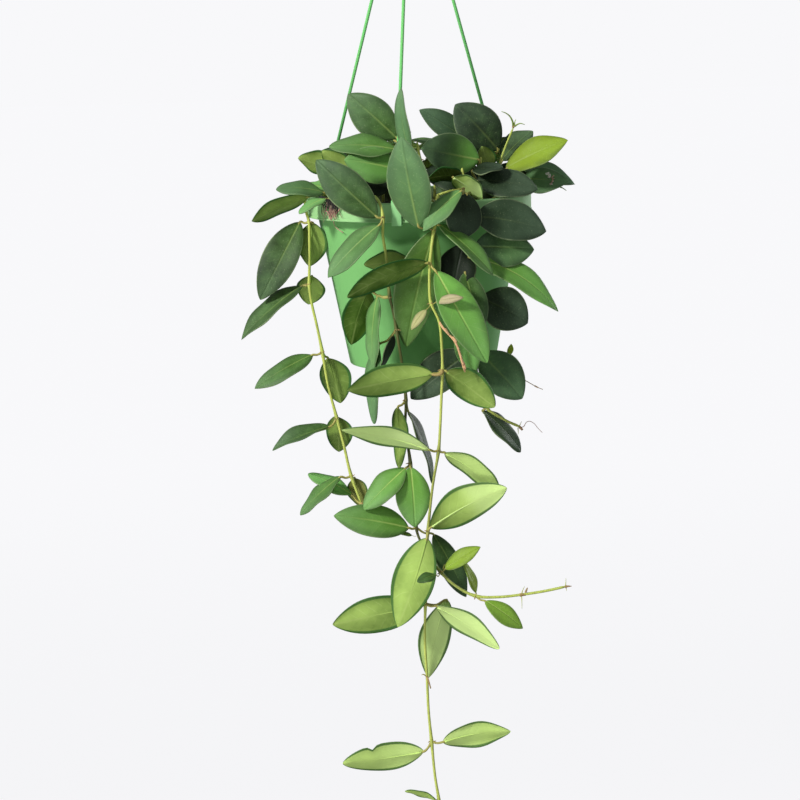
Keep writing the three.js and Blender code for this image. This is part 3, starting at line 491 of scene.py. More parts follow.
class HoyaStageSettings(bpy.types.PropertyGroup):
    key: FloatProperty(name="Key", description="Light from the left", default=39.0, unit="POWER")
    fill: FloatProperty(name="Fill", description="Light from the front", default=0.9, unit="POWER")
    bounce: FloatProperty(name="Bounce", description="Light from the floor", default=10.5, unit="POWER")
    back: FloatProperty(name="Back", description="Light from behind", default=14.0, unit="POWER")
    sky: FloatProperty(name="Sky", description="Brightness of the surroundings", default=0.3)
    floor: FloatProperty(name="Floor", description="Height of the floor", default=-1.3, unit="LENGTH")


# Colours that are laid over the user's own, as the eye names them
# Dust, with a painted sheen, on upper faces
DUSTY_SHEEN = linear(156, 190, 156)
SUNLIT = linear(134, 204, 98)
BLUISH = linear(114, 160, 116)
YELLOWED = linear(158, 182, 48)
WITHERED = linear(176, 162, 132)
SPECKLED = linear(190, 206, 160)
# Painted shade: near black for leaves deep in shade
PAINTED_SHADE_BLACK = linear(14, 20, 13)
# A pale margin line, partly a painted edge highlight
SILVERY_EDGE_AND_HIGHLIGHT = linear(158, 176, 130)
SHINING_THROUGH = linear(212, 238, 160)
GLARING = linear(238, 250, 206)
SHADED_UNDER = linear(18, 22, 11)
RUSTY = linear(96, 84, 34)
WITHERED_UNDER = linear(158, 140, 108)
# Painted shadow at a blade's stalk end
BASE_SHADOW = linear(120, 118, 62)
VEIN_UNDER = linear(208, 226, 150)
RIB_UNDER = linear(186, 204, 124)
ROLLED_MARGIN = linear(42, 92, 40)
BARK_GRAIN = linear(96, 84, 44)
DRY_BARK = linear(216, 170, 126)
SHADED_BARK = linear(34, 28, 20)
WET_ROOT = linear(24, 18, 16)
PINK_ROOT = linear(196, 150, 134)
DRIED_PETAL = linear(204, 202, 194)
ROOT_GRAIN = linear(208, 182, 150)
POT_DRIFT = linear(106, 168, 96)
POT_SCUFF = linear(160, 206, 140)
POT_SKIRT = linear(176, 212, 160)
POT_INSIDE = linear(44, 38, 26)
HANGER_DRIFT = linear(126, 200, 114)
# Painted highlight on the clips
HANGER_CLIP_HIGHLIGHT = linear(168, 208, 158)
DRY_CLOD = linear(72, 54, 38)
SOIL_FIBRE = linear(110, 84, 56)
SOIL_GRIT = linear(170, 158, 132)
FLOOR_DARK = linear(50, 50, 51)
FLOOR_LIGHT = linear(56, 56, 57)
BACKDROP_NEAR = linear(242, 242, 244)
BACKDROP_FAR = linear(247, 247, 249)
BACKDROP = linear(248, 248, 250)


class Wire:
    """A socket whose arithmetic adds Math nodes, so that shader maths reads as plain expressions."""

    def __init__(self, finish, socket):
        self.finish = finish
        self.socket = socket

    def maths(self, operation, first, second=None):
        values = {0: first} if second is None else {0: first, 1: second}
        return self.finish.node("ShaderNodeMath", {"operation": operation}, values)

    def __add__(self, other):
        return self.maths("ADD", self, other)

    def __radd__(self, other):
        return self.maths("ADD", other, self)

    def __sub__(self, other):
        return self.maths("SUBTRACT", self, other)

    def __rsub__(self, other):
        return self.maths("SUBTRACT", other, self)

    def __mul__(self, other):
        return self.maths("MULTIPLY", self, other)

    def __rmul__(self, other):
        return self.maths("MULTIPLY", other, self)

    def __pow__(self, other):
        return self.maths("POWER", self, other)

    def __abs__(self):
        return self.maths("ABSOLUTE", self)

    def sine(self):
        return self.maths("SINE", self)

    def apart(self):
        """How far the value is from the nearest whole number."""
        return abs(self.maths("FRACT", self) - 0.5)

    def rise(self, low, high):
        """0 below low and 1 above high, with a soft step between."""
        settings = {"interpolation_type": "SMOOTHSTEP"}
        return self.finish.node("ShaderNodeMapRange", settings, {0: self, 1: low, 2: high})

    def fall(self, low, high):
        return 1 - self.rise(low, high)


class Finish:
    """A material in the making. node() adds any node: its type, its settings, then its sockets."""

    def __init__(self, name):
        self.material = bpy.data.materials.new(name)
        self.material.use_nodes = True
        self.tree = self.material.node_tree
        self.tree.nodes.clear()

    def node(self, kind, settings=None, values=None, output=0):
        made = self.tree.nodes.new(kind)
        for name, value in (settings or {}).items():
            setattr(made, name, value)
        for place, value in (values or {}).items():
            if isinstance(value, Wire):
                self.tree.links.new(value.socket, made.inputs[place])
            elif isinstance(value, (tuple, list)) and len(value) == 3 and made.inputs[place].type == "RGBA":
                made.inputs[place].default_value = (*value, 1.0)
            else:
                made.inputs[place].default_value = value
        return Wire(self, made.outputs[output])

    def place(self):
        return self.node("ShaderNodeTexCoord", output="Object")

    def place_parts(self):
        """How far right, how far back and how high a place is."""
        values = {0: self.place()}
        return [self.node("ShaderNodeSeparateXYZ", None, values, axis) for axis in "XYZ"]

    def attribute(self, name):
        return self.node("ShaderNodeAttribute", {"attribute_name": name}, output="Fac")

    def uv(self, name):
        values = {0: self.node("ShaderNodeUVMap", {"uv_map": name})}
        return [self.node("ShaderNodeSeparateXYZ", None, values, axis) for axis in "XY"]

    def cloud(self, size, detail=2.0, rough=0.5, vector=None):
        """Noise between 0 and 1 whose lumps are about so large, in metres."""
        values = {"Vector": vector or self.place(), "Scale": 1 / size, "Detail": detail, "Roughness": rough}
        return self.node("ShaderNodeTexNoise", None, values, "Fac")

    def stretched(self, size, scale):
        """Noise drawn out along some axes."""
        vector = self.node("ShaderNodeMapping", None, {"Vector": self.place(), "Scale": scale})
        return self.cloud(size, vector=vector)

    def layered(self, colour, *layers):
        """A colour with others laid over it in turn, each by its own share."""
        settings = {"data_type": "RGBA", "blend_type": "MIX", "clamp_factor": True}
        for share, over in layers:
            colour = self.node("ShaderNodeMix", settings, {0: share, 6: colour, 7: over}, 2)
        return colour

    def finished(self, colour, rough, height=None, depth=0.0005, **constants):
        """Ends the material: colour, roughness, bump by height, and constants by socket name."""
        values = {"Base Color": colour, "Roughness": rough}
        values.update({name.replace("_", " "): value for name, value in constants.items()})
        if height is not None:
            values["Normal"] = self.node("ShaderNodeBump", None, {"Distance": depth, "Height": height})
        shader = self.node("ShaderNodeBsdfPrincipled", None, values)
        out = self.tree.nodes.new("ShaderNodeOutputMaterial")
        self.tree.links.new(shader.socket, out.inputs["Surface"])
        return self.material


def kept(name, make):
    """The material of that name, made once."""
    return bpy.data.materials.get(name) or make(name)


def vein_parts(finish):
    """Midrib, side veins, how near the margin and how far along a place of a blade is, from its UV map."""
    share, across = finish.uv("blade")
    side = abs(across * 2 - 1)
    breadth = ((share ** BROAD_PLACE) * math.pi).sine() ** FULLNESS
    wander = (finish.cloud(0.007) - 0.5) * 0.35
    vein = (share * 8.5 - side * 1.5 + wander).apart()
    midrib = (side * breadth).fall(0.0, 0.085)
    veins = vein.rise(0.4, 0.5) * side.rise(0.02, 0.12) * side.fall(0.8, 0.97)
    return midrib, veins, side, share


def leaf_upper(name):
    """Fleshy and green: mottled, dusty with a painted sheen toward the tip, darker at the margins as
    painted shade, and with a pale midrib and a pale margin line that is partly a painted highlight.
    """
    settings = bpy.context.scene.hoya_leaf
    deep = list(settings.deep)
    rib = list(settings.rib)
    finish = Finish(name)
    midrib, veins, side, share = vein_parts(finish)
    margin = side.rise(0.92, 0.98)
    tone = finish.attribute("tone")
    cast = finish.attribute("cast")
    mottle = finish.cloud(0.009, 3.0, 0.6)
    speck = finish.cloud(0.0009, 1.0)
    # Dust with a painted sheen: lighter toward the tip, and a little toward the margins
    dust_and_sheen = (side.rise(0.1, 0.95) * 0.04 + share.rise(0.2, 1.0) * 0.15) * cast.fall(0.1, 0.5)
    colour = finish.layered(
        deep,
        (tone + (mottle - 0.5) * 0.5 - 0.08, list(settings.fresh)),
        (dust_and_sheen + (mottle - 0.4) * 0.16, DUSTY_SHEEN),
        ((tone - 1) * 0.8, SUNLIT),
        ((0 - cast) * 0.6, BLUISH),
        (cast.rise(0.25, 1.1), YELLOWED),
        (cast - 1, WITHERED),
        (speck.rise(0.62, 0.8) * 0.16, SPECKLED),
        # Painted shade: darker toward the margins, in patches
        (side.rise(0.4, 0.95) * mottle.rise(0.15, 0.6) * 0.42, deep),
        # Painted shade: a tone below 0 turns the upper face near black
        (0 - tone, PAINTED_SHADE_BLACK),
        (veins * mottle.rise(0.4, 0.65) * (tone * 0.09 + 0.02), rib),
        (midrib * share.fall(0.1, 1.0) * (tone * 0.5 + 0.06), rib),
        # The pale margin line, partly the leaf's own edge and partly a painted highlight
        (margin * mottle.rise(0.25, 0.6) * 0.5, SILVERY_EDGE_AND_HIGHLIGHT),
    )
    height = 1 - midrib * 0.5 - veins * 0.06 + mottle * 0.5 + speck * 0.05
    rough = 0.42 + mottle * 0.16 - margin * 0.05
    return finish.finished(colour, rough, height, 0.0005, IOR=1.42, Specular_IOR_Level=0.2)


def leaf_underside(name):
    """Paler than above, with a rolled dark margin, yellower where light shines through, and darker
    at the stalk end as a painted shadow.
    """
    settings = bpy.context.scene.hoya_leaf
    finish = Finish(name)
    midrib, veins, side, share = vein_parts(finish)
    tone = finish.attribute("tone")
    cast = finish.attribute("cast")
    mottle = finish.cloud(0.011, 3.0, 0.6)
    shade = (mottle - 0.5) * 0.45 - side.rise(0.3, 0.85) * 0.12
    colour = finish.layered(
        list(settings.olive),
        (tone + shade + 0.04, list(settings.pale)),
        (tone.rise(0.65, 1.0) * 0.6, SHINING_THROUGH),
        (tone - 1, GLARING),
        (0 - tone, SHADED_UNDER),
        (cast * 0.6, RUSTY),
        (cast - 1, WITHERED_UNDER),
        # Painted shadow: darker near the stalk end
        (share.fall(0.02, 0.3) * 0.3 * mottle.rise(0.3, 0.6), BASE_SHADOW),
        (veins * mottle.rise(0.4, 0.65) * 0.14, VEIN_UNDER),
        (midrib * 0.25, RIB_UNDER),
        (side.rise(0.79, 0.87) * 0.85, ROLLED_MARGIN),
    )
    height = veins * 0.12 + mottle * 0.6
    return finish.finished(colour, 0.52 + mottle * 0.15, height, 0.0004, IOR=1.4, Specular_IOR_Level=0.25)


def bark(name):
    """Green when young, brown when old, and pale where it has dried."""
    settings = bpy.context.scene.hoya_stem
    finish = Finish(name)
    age = finish.attribute("cast")
    lightness = finish.attribute("tone")
    grain = finish.stretched(0.0016, (1.0, 1.0, 0.18))
    colour = finish.layered(
        list(settings.green),
        (age + (grain - 0.5) * 0.4, list(settings.brown)),
        (grain.fall(0.3, 0.5) * 0.25, BARK_GRAIN),
        (age - 1, DRY_BARK),
        (1 - lightness, SHADED_BARK),
    )
    return finish.finished(colour, 0.5 + grain * 0.2, grain, 0.0003)


def root_skin(name):
    """Roots from wet and dark to pink, and dried petals."""
    finish = Finish(name)
    grain = finish.cloud(0.002)
    colour = finish.layered(
        WET_ROOT,
        (finish.attribute("tone"), PINK_ROOT),
        (finish.attribute("cast"), DRIED_PETAL),
        (grain.rise(0.5, 0.8) * 0.5, ROOT_GRAIN),
    )
    return finish.finished(colour, 0.7 + grain * 0.15, grain, 0.0002)


def pot_plastic(name):
    """Matte plastic: paler on the skirt, scuffed, and dark brown inside above the soil."""
    settings = bpy.context.scene.hoya_pot
    finish = Finish(name)
    drift = finish.cloud(0.03, 3.0)
    scuff = finish.stretched(0.004, (1.0, 1.0, 0.12))
    smear = finish.stretched(0.006, (1.0, 1.0, 0.3))
    fine = finish.cloud(0.0007, 1.0)
    right, back, up = finish.place_parts()
    skirt = up.rise((LIP - 0.2) * MM, (LIP + 0.2) * MM)
    inside = ((right * right + back * back) ** 0.5).fall((TOP - 0.8) * MM, (TOP - 0.4) * MM)
    inside = inside * up.rise((LIP + 0.4) * MM, (LIP + 0.8) * MM)
    colour = finish.layered(
        list(settings.plastic),
        (drift * 0.5, POT_DRIFT),
        (scuff.rise(0.6, 0.78) * 0.1, POT_SCUFF),
        (skirt * 0.4, POT_SKIRT),
        (inside * (0.55 + smear * 0.6), POT_INSIDE),
    )
    rough = 0.56 + drift * 0.16 + scuff.rise(0.5, 0.8) * 0.15
    height = fine * 0.2 + drift * 0.8
    return finish.finished(colour, rough, height, 0.0003, IOR=1.48, Specular_IOR_Level=0.14)


def hanger_plastic(name):
    """Matte plastic, paler at the clips as a painted highlight where their flat tabs catch the light."""
    settings = bpy.context.scene.hoya_pot
    finish = Finish(name)
    drift = finish.cloud(0.012, 2.0)
    fine = finish.cloud(0.0008, 1.0)
    up = finish.place_parts()[2]
    # Painted highlight: paler below the rim's top, where the clips catch the light
    clip_highlight = up.fall((LIP + SKIRT) * MM, (LIP + SKIRT + 3) * MM)
    colour = finish.layered(
        list(settings.hanger),
        (drift * 0.6, HANGER_DRIFT),
        (clip_highlight * 0.5, HANGER_CLIP_HIGHLIGHT),
    )
    height = fine * 0.3 + drift * 0.7
    return finish.finished(colour, 0.52 + drift * 0.12, height, 0.0002, IOR=1.48, Specular_IOR_Level=0.16)


def soil_earth(name):
    """Moist clods with fibres and light grit."""
    settings = bpy.context.scene.hoya_soil
    finish = Finish(name)
    clod = finish.cloud(0.006, 4.0, 0.7)
    fibre = finish.stretched(0.002, (1.0, 0.2, 1.0))
    grit = finish.cloud(0.0012, 2.0)
    colour = finish.layered(
        list(settings.earth),
        (clod.rise(0.35, 0.7), DRY_CLOD),
        (fibre.rise(0.62, 0.72) * 0.5, SOIL_FIBRE),
        (grit.rise(0.7, 0.78) * 0.6, SOIL_GRIT),
    )
    return finish.finished(colour, 0.85 + grit * 0.1, clod * 0.8 + grit * 0.3, 0.002)


def pale_floor(name):
    """A floor as pale as the backdrop, which glows a little brighter far off."""
    finish = Finish(name)
    colour = finish.layered(FLOOR_DARK, (finish.cloud(0.6, 1.0), FLOOR_LIGHT))
    back = finish.place_parts()[1]
    glow = finish.layered(BACKDROP_NEAR, (back.rise(1.2, 4.5), BACKDROP_FAR))
    return finish.finished(colour, 1.0, None, 0.0, Emission_Color=glow, Emission_Strength=1.0, IOR=1.0)


def appended(whole, piece):
    """Adds a finished bmesh to the whole one, and frees it."""
    mesh = bpy.data.meshes.new("hoya_part")
    piece.to_mesh(mesh)
    piece.free()
    whole.from_mesh(mesh)
    bpy.data.meshes.remove(mesh)


def fresh():
    """An empty bmesh with the layers that every piece carries."""
    made = bmesh.new()
    made.verts.layers.float.new("tone")
    made.verts.layers.float.new("cast")
    made.loops.layers.uv.new("blade")
    return made


def tinted(piece, tone, cast):
    for vert in piece.verts:
        vert[piece.verts.layers.float["tone"]] = tone
        vert[piece.verts.layers.float["cast"]] = cast


def smooth_path(points, steps):
    """A smooth line through the points, and how far along the points each of its places is."""
    last = len(points) - 1
    if last == 0 or steps == 1:
        return list(points), [float(i) for i in range(len(points))]
    leans = []
    for i in range(len(points)):
        before = points[max(i - 1, 0)]
        after = points[min(i + 1, last)]
        leans.append((after - before).normalized())
    line = []
    marks = []
    for i in range(last):
        reach = (points[i + 1] - points[i]).length / 3
        near = points[i] + leans[i] * reach
        far = points[i + 1] - leans[i + 1] * reach
        bend = interpolate_bezier(points[i], near, far, points[i + 1], steps + 1)
        for j in range(steps):
            line.append(Vector(bend[j]))
            marks.append(i + j / steps)
    line.append(points[last].copy())
    marks.append(float(last))
    return line, marks


def add_tube(whole, line, radii, sides, material, tone=1.0, cast=0.0):
    """A closed tube along a line: a circle is drawn out from place to place. tone may be one per ring."""
    piece = fresh()
    tones = tone if isinstance(tone, list) else [tone] * len(line)
    layer = piece.verts.layers.float["tone"]
    frames = []
    turn = None
    across = None
    for i, place in enumerate(line):
        ahead = (line[min(i + 1, len(line) - 1)] - line[max(i - 1, 0)]).normalized()
        if across is None:
            across = ahead.orthogonal().normalized()
        else:
            across = (turn.rotation_difference(ahead) @ across).normalized()
        turn = ahead
        beside = ahead.cross(across)
        matrix = Matrix((across, beside, ahead)).transposed().to_4x4()
        frames.append(Matrix.Translation(place) @ matrix @ Matrix.Scale(radii[i], 4))
    first = bmesh.ops.create_circle(piece, cap_ends=True, segments=sides, radius=1.0, matrix=frames[0])
    rings = [first["verts"]]
    edges = [edge for edge in piece.edges if len(edge.link_faces) < 2]
    for i in range(1, len(frames)):
        drawn = bmesh.ops.extrude_edge_only(piece, edges=edges)["geom"]
        ring = [item for item in drawn if isinstance(item, bmesh.types.BMVert)]
        edges = [item for item in drawn if isinstance(item, bmesh.types.BMEdge)]
        edges = [edge for edge in edges if all(vert in set(ring) for vert in edge.verts)]
        bmesh.ops.transform(piece, matrix=frames[i] @ frames[i - 1].inverted(), verts=ring)
        rings.append(ring)
    bmesh.ops.contextual_create(piece, geom=edges)
    bmesh.ops.recalc_face_normals(piece, faces=piece.faces)
    tinted(piece, 1.0, cast)
    for ring, value in zip(rings, tones):
        for vert in ring:
            vert[layer] = value
    mapped = piece.loops.layers.uv["blade"]
    for face in piece.faces:
        face.material_index = material
        face.smooth = len(face.verts) == 4
        for loop in face.loops:
            loop[mapped].uv = PLAIN_PLACE
    appended(whole, piece)


def add_lump(whole, place, size, material, tone, cast, turn=None, wobble=0.0, seed=0.0, level=2):
    """A rounded lump, drawn out to its size and roughened."""
    piece = fresh()
    made = bmesh.ops.create_icosphere(piece, subdivisions=level, radius=1.0)["verts"]
    for vert in made:
        vert.co *= 1.0 + wobble * noise.noise(vert.co * 1.7 + Vector((seed, seed * 2.0, 0.0)))
    bmesh.ops.scale(piece, vec=size, verts=made)
    matrix = Matrix.Translation(place) @ (turn.to_matrix().to_4x4() if turn else Matrix.Identity(4))
    bmesh.ops.transform(piece, matrix=matrix, verts=made)
    tinted(piece, tone, cast)
    for face in piece.faces:
        face.material_index = material
        face.smooth = True
    appended(whole, piece)


def between(values, marks, scale=1.0):
    """Values at marks that count from one value to the next."""
    last = len(values) - 1
    found = []
    for mark in marks:
        i = min(int(mark), last - 1)
        found.append(scale * (values[i] + (values[i + 1] - values[i]) * (mark - i)))
    return found


def outline_at(share):
    """Half width of a blade as a share of its widest."""
    return math.sin(math.pi * share ** BROAD_PLACE) ** FULLNESS if 0.0 < share < 1.0 else 0.0


def add_leaf(whole, plan, seed):
    """A fleshy blade: a ball drawn flat to the outline, arched, folded and rolled at its margins, on a
    bent stalk that runs on as the midrib below."""
    settings = bpy.context.scene.hoya_leaf
    chance = random.Random(seed)
    start, base, tip = plan["start"], plan["base"], plan["tip"]
    along = tip - base
    length = along.length
    along.normalize()
    upper = (plan["face"] - along * plan["face"].dot(along)).normalized()
    side = along.cross(upper)
    half = plan["width"] / 2
    fold = math.radians(plan["fold"])
    phase = chance.uniform(0, 2 * math.pi)
    waves = chance.uniform(*WAVES)
    sway = chance.uniform(-SWAY, SWAY)
    if plan["bow"] is not None:
        sway = plan["bow"]
    twist = chance.uniform(-TWIST, TWIST)
    curl = settings.curl * chance.uniform(*CURLS)
    wave = settings.wave / MM * min(1.0, half / GROWN_WAVES)
    lean = chance.uniform(1 - UNEVEN, 1 + UNEVEN)

    def middle(share):
        bow = 4 * share * (1 - share)
        return base + (along * share + upper * (ARCH * bow) + side * (sway * bow)) * length

    piece = fresh()
    made = bmesh.ops.create_uvsphere(
        piece, u_segments=settings.around, v_segments=settings.along, radius=1.0
    )["verts"]
    for face in piece.faces:
        face.material_index = UPPER if face.calc_center_median().y > 0 else UNDER
        face.smooth = True
    places = {}
    for vert in made:
        flat = vert.co.x
        lift = vert.co.y
        share = (1 - vert.co.z) / 2
        ring = math.hypot(flat, lift)
        if ring < 1e-5:
            places[vert] = (share, None)
            vert.co = middle(share)
            continue
        flat /= ring
        lift /= ring
        places[vert] = (share, flat)
        breadth = outline_at(share)
        off = abs(flat)
        reach = half * breadth * (lean if flat > 0 else 2 - lean)
        if plan["tear"] and flat < 0:
            reach *= 1 - TEAR_DEPTH * math.exp(-(((share - plan["tear"]) / TEAR_LENGTH) ** 2))
        raised = (math.hypot(off, CREASE) - CREASE) / (math.hypot(1, CREASE) - CREASE)
        rise = reach * math.sin(fold) * raised
        rise -= reach * curl * max(0.0, (off - CURL_START) / (1 - CURL_START)) ** 2
        rise += wave * off * off * math.sin(2 * math.pi * waves * share + phase + (2 if flat > 0 else 0))
        rise += reach * flat * twist * (share - 0.3)
        thick = (BLADE_EDGE + (BLADE_MIDDLE - BLADE_EDGE) * (1 - off)) / 2
        thick *= min(1.0, breadth / 0.3) * math.copysign(abs(lift) ** 0.35, lift)
        vert.co = middle(share) + side * (flat * reach * math.cos(fold)) + upper * (rise + thick)
    layer = piece.loops.layers.uv["blade"]
    for face in piece.faces:
        known = [places[vert][1] for vert in face.verts if places[vert][1] is not None]
        usual = sum(known) / len(known)
        for loop in face.loops:
            share, flat = places[loop.vert]
            loop[layer].uv = (share, ((usual if flat is None else flat) + 1) / 2)
    bmesh.ops.recalc_face_normals(piece, faces=piece.faces)
    tinted(piece, plan["tone"], plan["cast"])
    change = plan["root"] - plan["tone"]
    for vert, (share, flat) in places.items():
        vert[piece.verts.layers.float["tone"]] += change * max(0.0, 1 - share / ROOT_SHARE)
    appended(whole, piece)

    heading = (base - start).normalized()
    bow = (heading + along).normalized()
    sag = Vector((0, 0, -SAG * (base - start).length))
    small = min(1.0, half / GROWN_HALF)
    stalk = [start, start.lerp(base, 0.5) + sag, base - bow * 0.2, middle(0.09) - upper * 0.2]
    line, marks = smooth_path(stalk, 4)
    add_tube(whole, line, between(STALK_SIZES, marks, STALK * small), 8, BARK, 0.9, 0.55)
    rib = [middle(share) - upper * (0.6 - 0.3 * share) for share in RIB_PLACES]
    line, marks = smooth_path(rib, 3)
    add_tube(whole, line, between(RIB_SIZES, marks, STALK * small), 6, UNDER, plan["tone"], plan["cast"])


def soft(mark, low, high):
    """1 between two marks, with a slope of one mark at each end."""
    return max(0.0, min(1.0, mark - low + 1, high + 1 - mark))


def add_stem(whole, points, radius, leaves, seed, shade, cast):
    """A stem through its points, swollen at the nodes where leaves grow."""
    settings = bpy.context.scene.hoya_stem
    chance = random.Random(seed)
    line, marks = smooth_path(points, settings.steps)
    nodes = {plan["mark"] for plan in leaves}
    sizes = []
    for mark in marks:
        near = min([abs(mark - node) for node in nodes] or [9])
        swell = settings.knuckle / MM * KNUCKLE_SHARE * math.exp(-(near / KNUCKLE_REACH) ** 2)
        sizes.append(radius * (0.94 + 0.1 * noise.noise(Vector((mark * 0.9, seed, 0)))) + swell)
    sizes[-1] *= STEM_TIP
    sizes[0] *= STEM_FOOT
    tones = []
    for mark in marks:
        depths = [depth * soft(mark, low, high) for low, high, depth in shade]
        tones.append(1 - max(depths, default=0))
    add_tube(whole, line, sizes, settings.sides, BARK, tones, cast)
    for mark in sorted(nodes):
        place = points[mark]
        before = points[max(mark - 1, 0)]
        after = points[min(mark + 1, len(points) - 1)]
        ahead = (after - before).normalized()
        turn = Vector((0, 0, 1)).rotation_difference(ahead)
        add_lump(whole, place, Vector(NODE_SIZE) * radius, BARK, 0.95, 0.85, turn, 0.25, seed + mark, 2)
        for i in range(STUBS):
            out = Vector((chance.uniform(-1, 1), chance.uniform(-1, 0.2), chance.uniform(-0.4, 0.6)))
            out = (out - ahead * out.dot(ahead)).normalized()
            stub = [place + out * (radius * 0.5), place + out * (radius + 0.8)]
            end = place + out * (radius + chance.uniform(*STUB_LENGTH))
            stub.append(end + ahead * chance.uniform(-0.6, 0.6))
            add_tube(whole, stub, STUB_SIZES, 6, BARK, 0.85, 1.0)


def placed(plan):
    """A sighted leaf with its real places and the way it really faces."""
    right, near, up = plan["face"]
    return dict(plan, base=sighted(plan["base"]), tip=sighted(plan["tip"]), face=Vector((right, -near, up)))


def sighted_stem(plan):
    """The plan's shoots with real places, the rooted one first."""
    (x, y), planned = plan
    ground = soil_top(math.hypot(x, y))
    shoots = []
    for name, (path, leaves) in planned.items():
        path = [sighted(point) for point in path]
        root = [] if shoots else [Vector((x, y, ground + height)) for height in ROOTED]
        grown = [
            dict(placed(one), start=path[one["node"]], mark=one["node"] + len(root))
            for one in leaves.values()
        ]
        shoots.append((name, root + path, grown))
    return shoots


def grown_stem(azimuth, ring, pairs, seed, rise=0.0, lean=0.0, trail=0.0, scale=1.0):
    """A stem behind the axis, which leans out or trails over the rim, by the rule of the solids."""
    out = around(azimuth, 1.0, 0.0)
    across = Vector((-out.y, out.x, 0.0))
    ground = soil_top(ring)
    rim_top = LIP + SKIRT

    def place(distance, height):
        return Vector((out.x * distance, out.y * distance, height))

    if trail:
        path = [place(ring + 5, rim_top + 2), place(RIM + 1, rim_top + 5), place(RIM + 7, rim_top - 5)]
        for i in range(1, pairs + 1):
            path.append(place(RIM + 7 - 2 * i, rim_top - 5 - trail * i / pairs))
    else:
        path = [place(ring + lean * i / pairs, ground + 8 + rise * i / pairs) for i in range(pairs + 1)]
    draw = draws(seed)
    shade = random.Random(seed * 31 + int(abs(azimuth)))
    root = [place(ring, ground + height) for height in ROOTED]
    leaves = []
    for i in range(len(path) - pairs, len(path)):
        loose = next(draw) - 0.5
        spin = 0.25 * loose if trail else (i % 2) * 1.4 + 0.5 * loose
        for sign in (-1, 1):
            heading = across * (sign * math.cos(spin))
            heading += out * (sign * math.sin(spin) + (0.3 if trail else 0.2))
            heading.z = -0.35 - 0.4 * next(draw) if trail else 0.45 - 0.5 * next(draw)
            heading.normalize()
            base = path[i] + heading * GROWN_STALK
            tip = base + heading * (scale * (LONGEST - SPREAD * next(draw)))
            width = scale * (WIDEST - NARROWING * next(draw))
            face = out + Vector((0, 0, 0.5)) if trail else out * 0.5 + Vector((0, 0, 1))
            made = leaf(i, base, tip, width, face, shade.uniform(0.25, 0.75), shade.uniform(-0.3, 0.3))
            leaves.append(dict(made, start=path[i], mark=i + len(root)))
    return [("stem", root + path, leaves)]


def to_object(piece, name, materials):
    """The finished bmesh, made in millimetres, as an object in metres that rides on the frame."""
    bmesh.ops.scale(piece, vec=Vector((MM, MM, MM)), verts=piece.verts)
    mesh = bpy.data.meshes.new(name)
    piece.to_mesh(mesh)
    piece.free()
    for material in materials:
        mesh.materials.append(material)
    made = bpy.data.objects.new(name, mesh)
    bpy.context.scene.collection.objects.link(made)
    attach(made, "root")
    return made


# Age of the bark of a stem or shoot that differs from the usual one, from -1, green, to 2, dried
BARK_AGES = {"old_flower_stalk": 1.9, "crown_young": -0.3, "vine_centre": -0.2}
BARK_AGE = 0.1
# Dark stretches of bark: from mark to mark, and how dark
SHADES = {
    "vine_centre": ((8, 16, 0.8), (16, 19, 0.4)),
    "vine_main": ((15, 17, 0.35),),
    "vine_right": ((2, 12, 0.6),),
}


def foliage_materials():
    return [
        kept("hoya_leaf_upper", leaf_upper),
        kept("hoya_leaf_underside", leaf_underside),
        kept("hoya_bark", bark),
        kept("hoya_root", root_skin),
    ]


def leafy_object(name, shoots, seed):
    """One leafy stem as one piece, in place of its solid."""
    whole = fresh()
    for i, (title, points, leaves) in enumerate(shoots):
        radius = STEM * (SIDE_SHOOT if i else 1.0) * (YOUNG_SHOOT if name == "crown_young" else 1.0)
        shade = () if i else SHADES.get(name, ())
        age = BARK_AGES.get(title if i else name, BARK_AGE)
        add_stem(whole, points, radius, leaves, seed + i * 7, shade, age)
        for j, plan in enumerate(leaves):
            add_leaf(whole, plan, seed * 101 + i * 13 + j)
    made = to_object(whole, name + "_foliage", foliage_materials())
    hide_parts(name)


def spun(profile, steps):
    """A closed turned shape: a line of points is spun about the axis."""
    piece = fresh()
    verts = [piece.verts.new((radius, 0.0, height)) for radius, height in profile]
    edges = [piece.edges.new(pair) for pair in zip(verts, verts[1:])]
    bmesh.ops.spin(
        piece,
        geom=verts + edges,
        cent=(0, 0, 0),
        axis=(0, 0, 1),
        angle=2 * math.pi,
        steps=steps,
        use_merge=True,
    )
    bmesh.ops.remove_doubles(piece, verts=piece.verts, dist=0.001)
    bmesh.ops.recalc_face_normals(piece, faces=piece.faces)
    for face in piece.faces:
        face.smooth = True
    tinted(piece, 1.0, 0.0)
    return piece


def rounded(profile, radius, steps=3):
    """A profile whose corners are rounded off."""
    line = [profile[0]]
    for before, corner, after in zip(profile, profile[1:], profile[2:]):
        here = Vector(corner)
        back = Vector(before) - here
        on = Vector(after) - here
        cut = min(radius, back.length * 0.45, on.length * 0.45)
        first = here + back.normalized() * cut
        last = here + on.normalized() * cut
        for i in range(steps + 1):
            share = i / steps
            point = first.lerp(here, share).lerp(here.lerp(last, share), share)
            line.append((point.x, point.y))
    line.append(profile[-1])
    return line


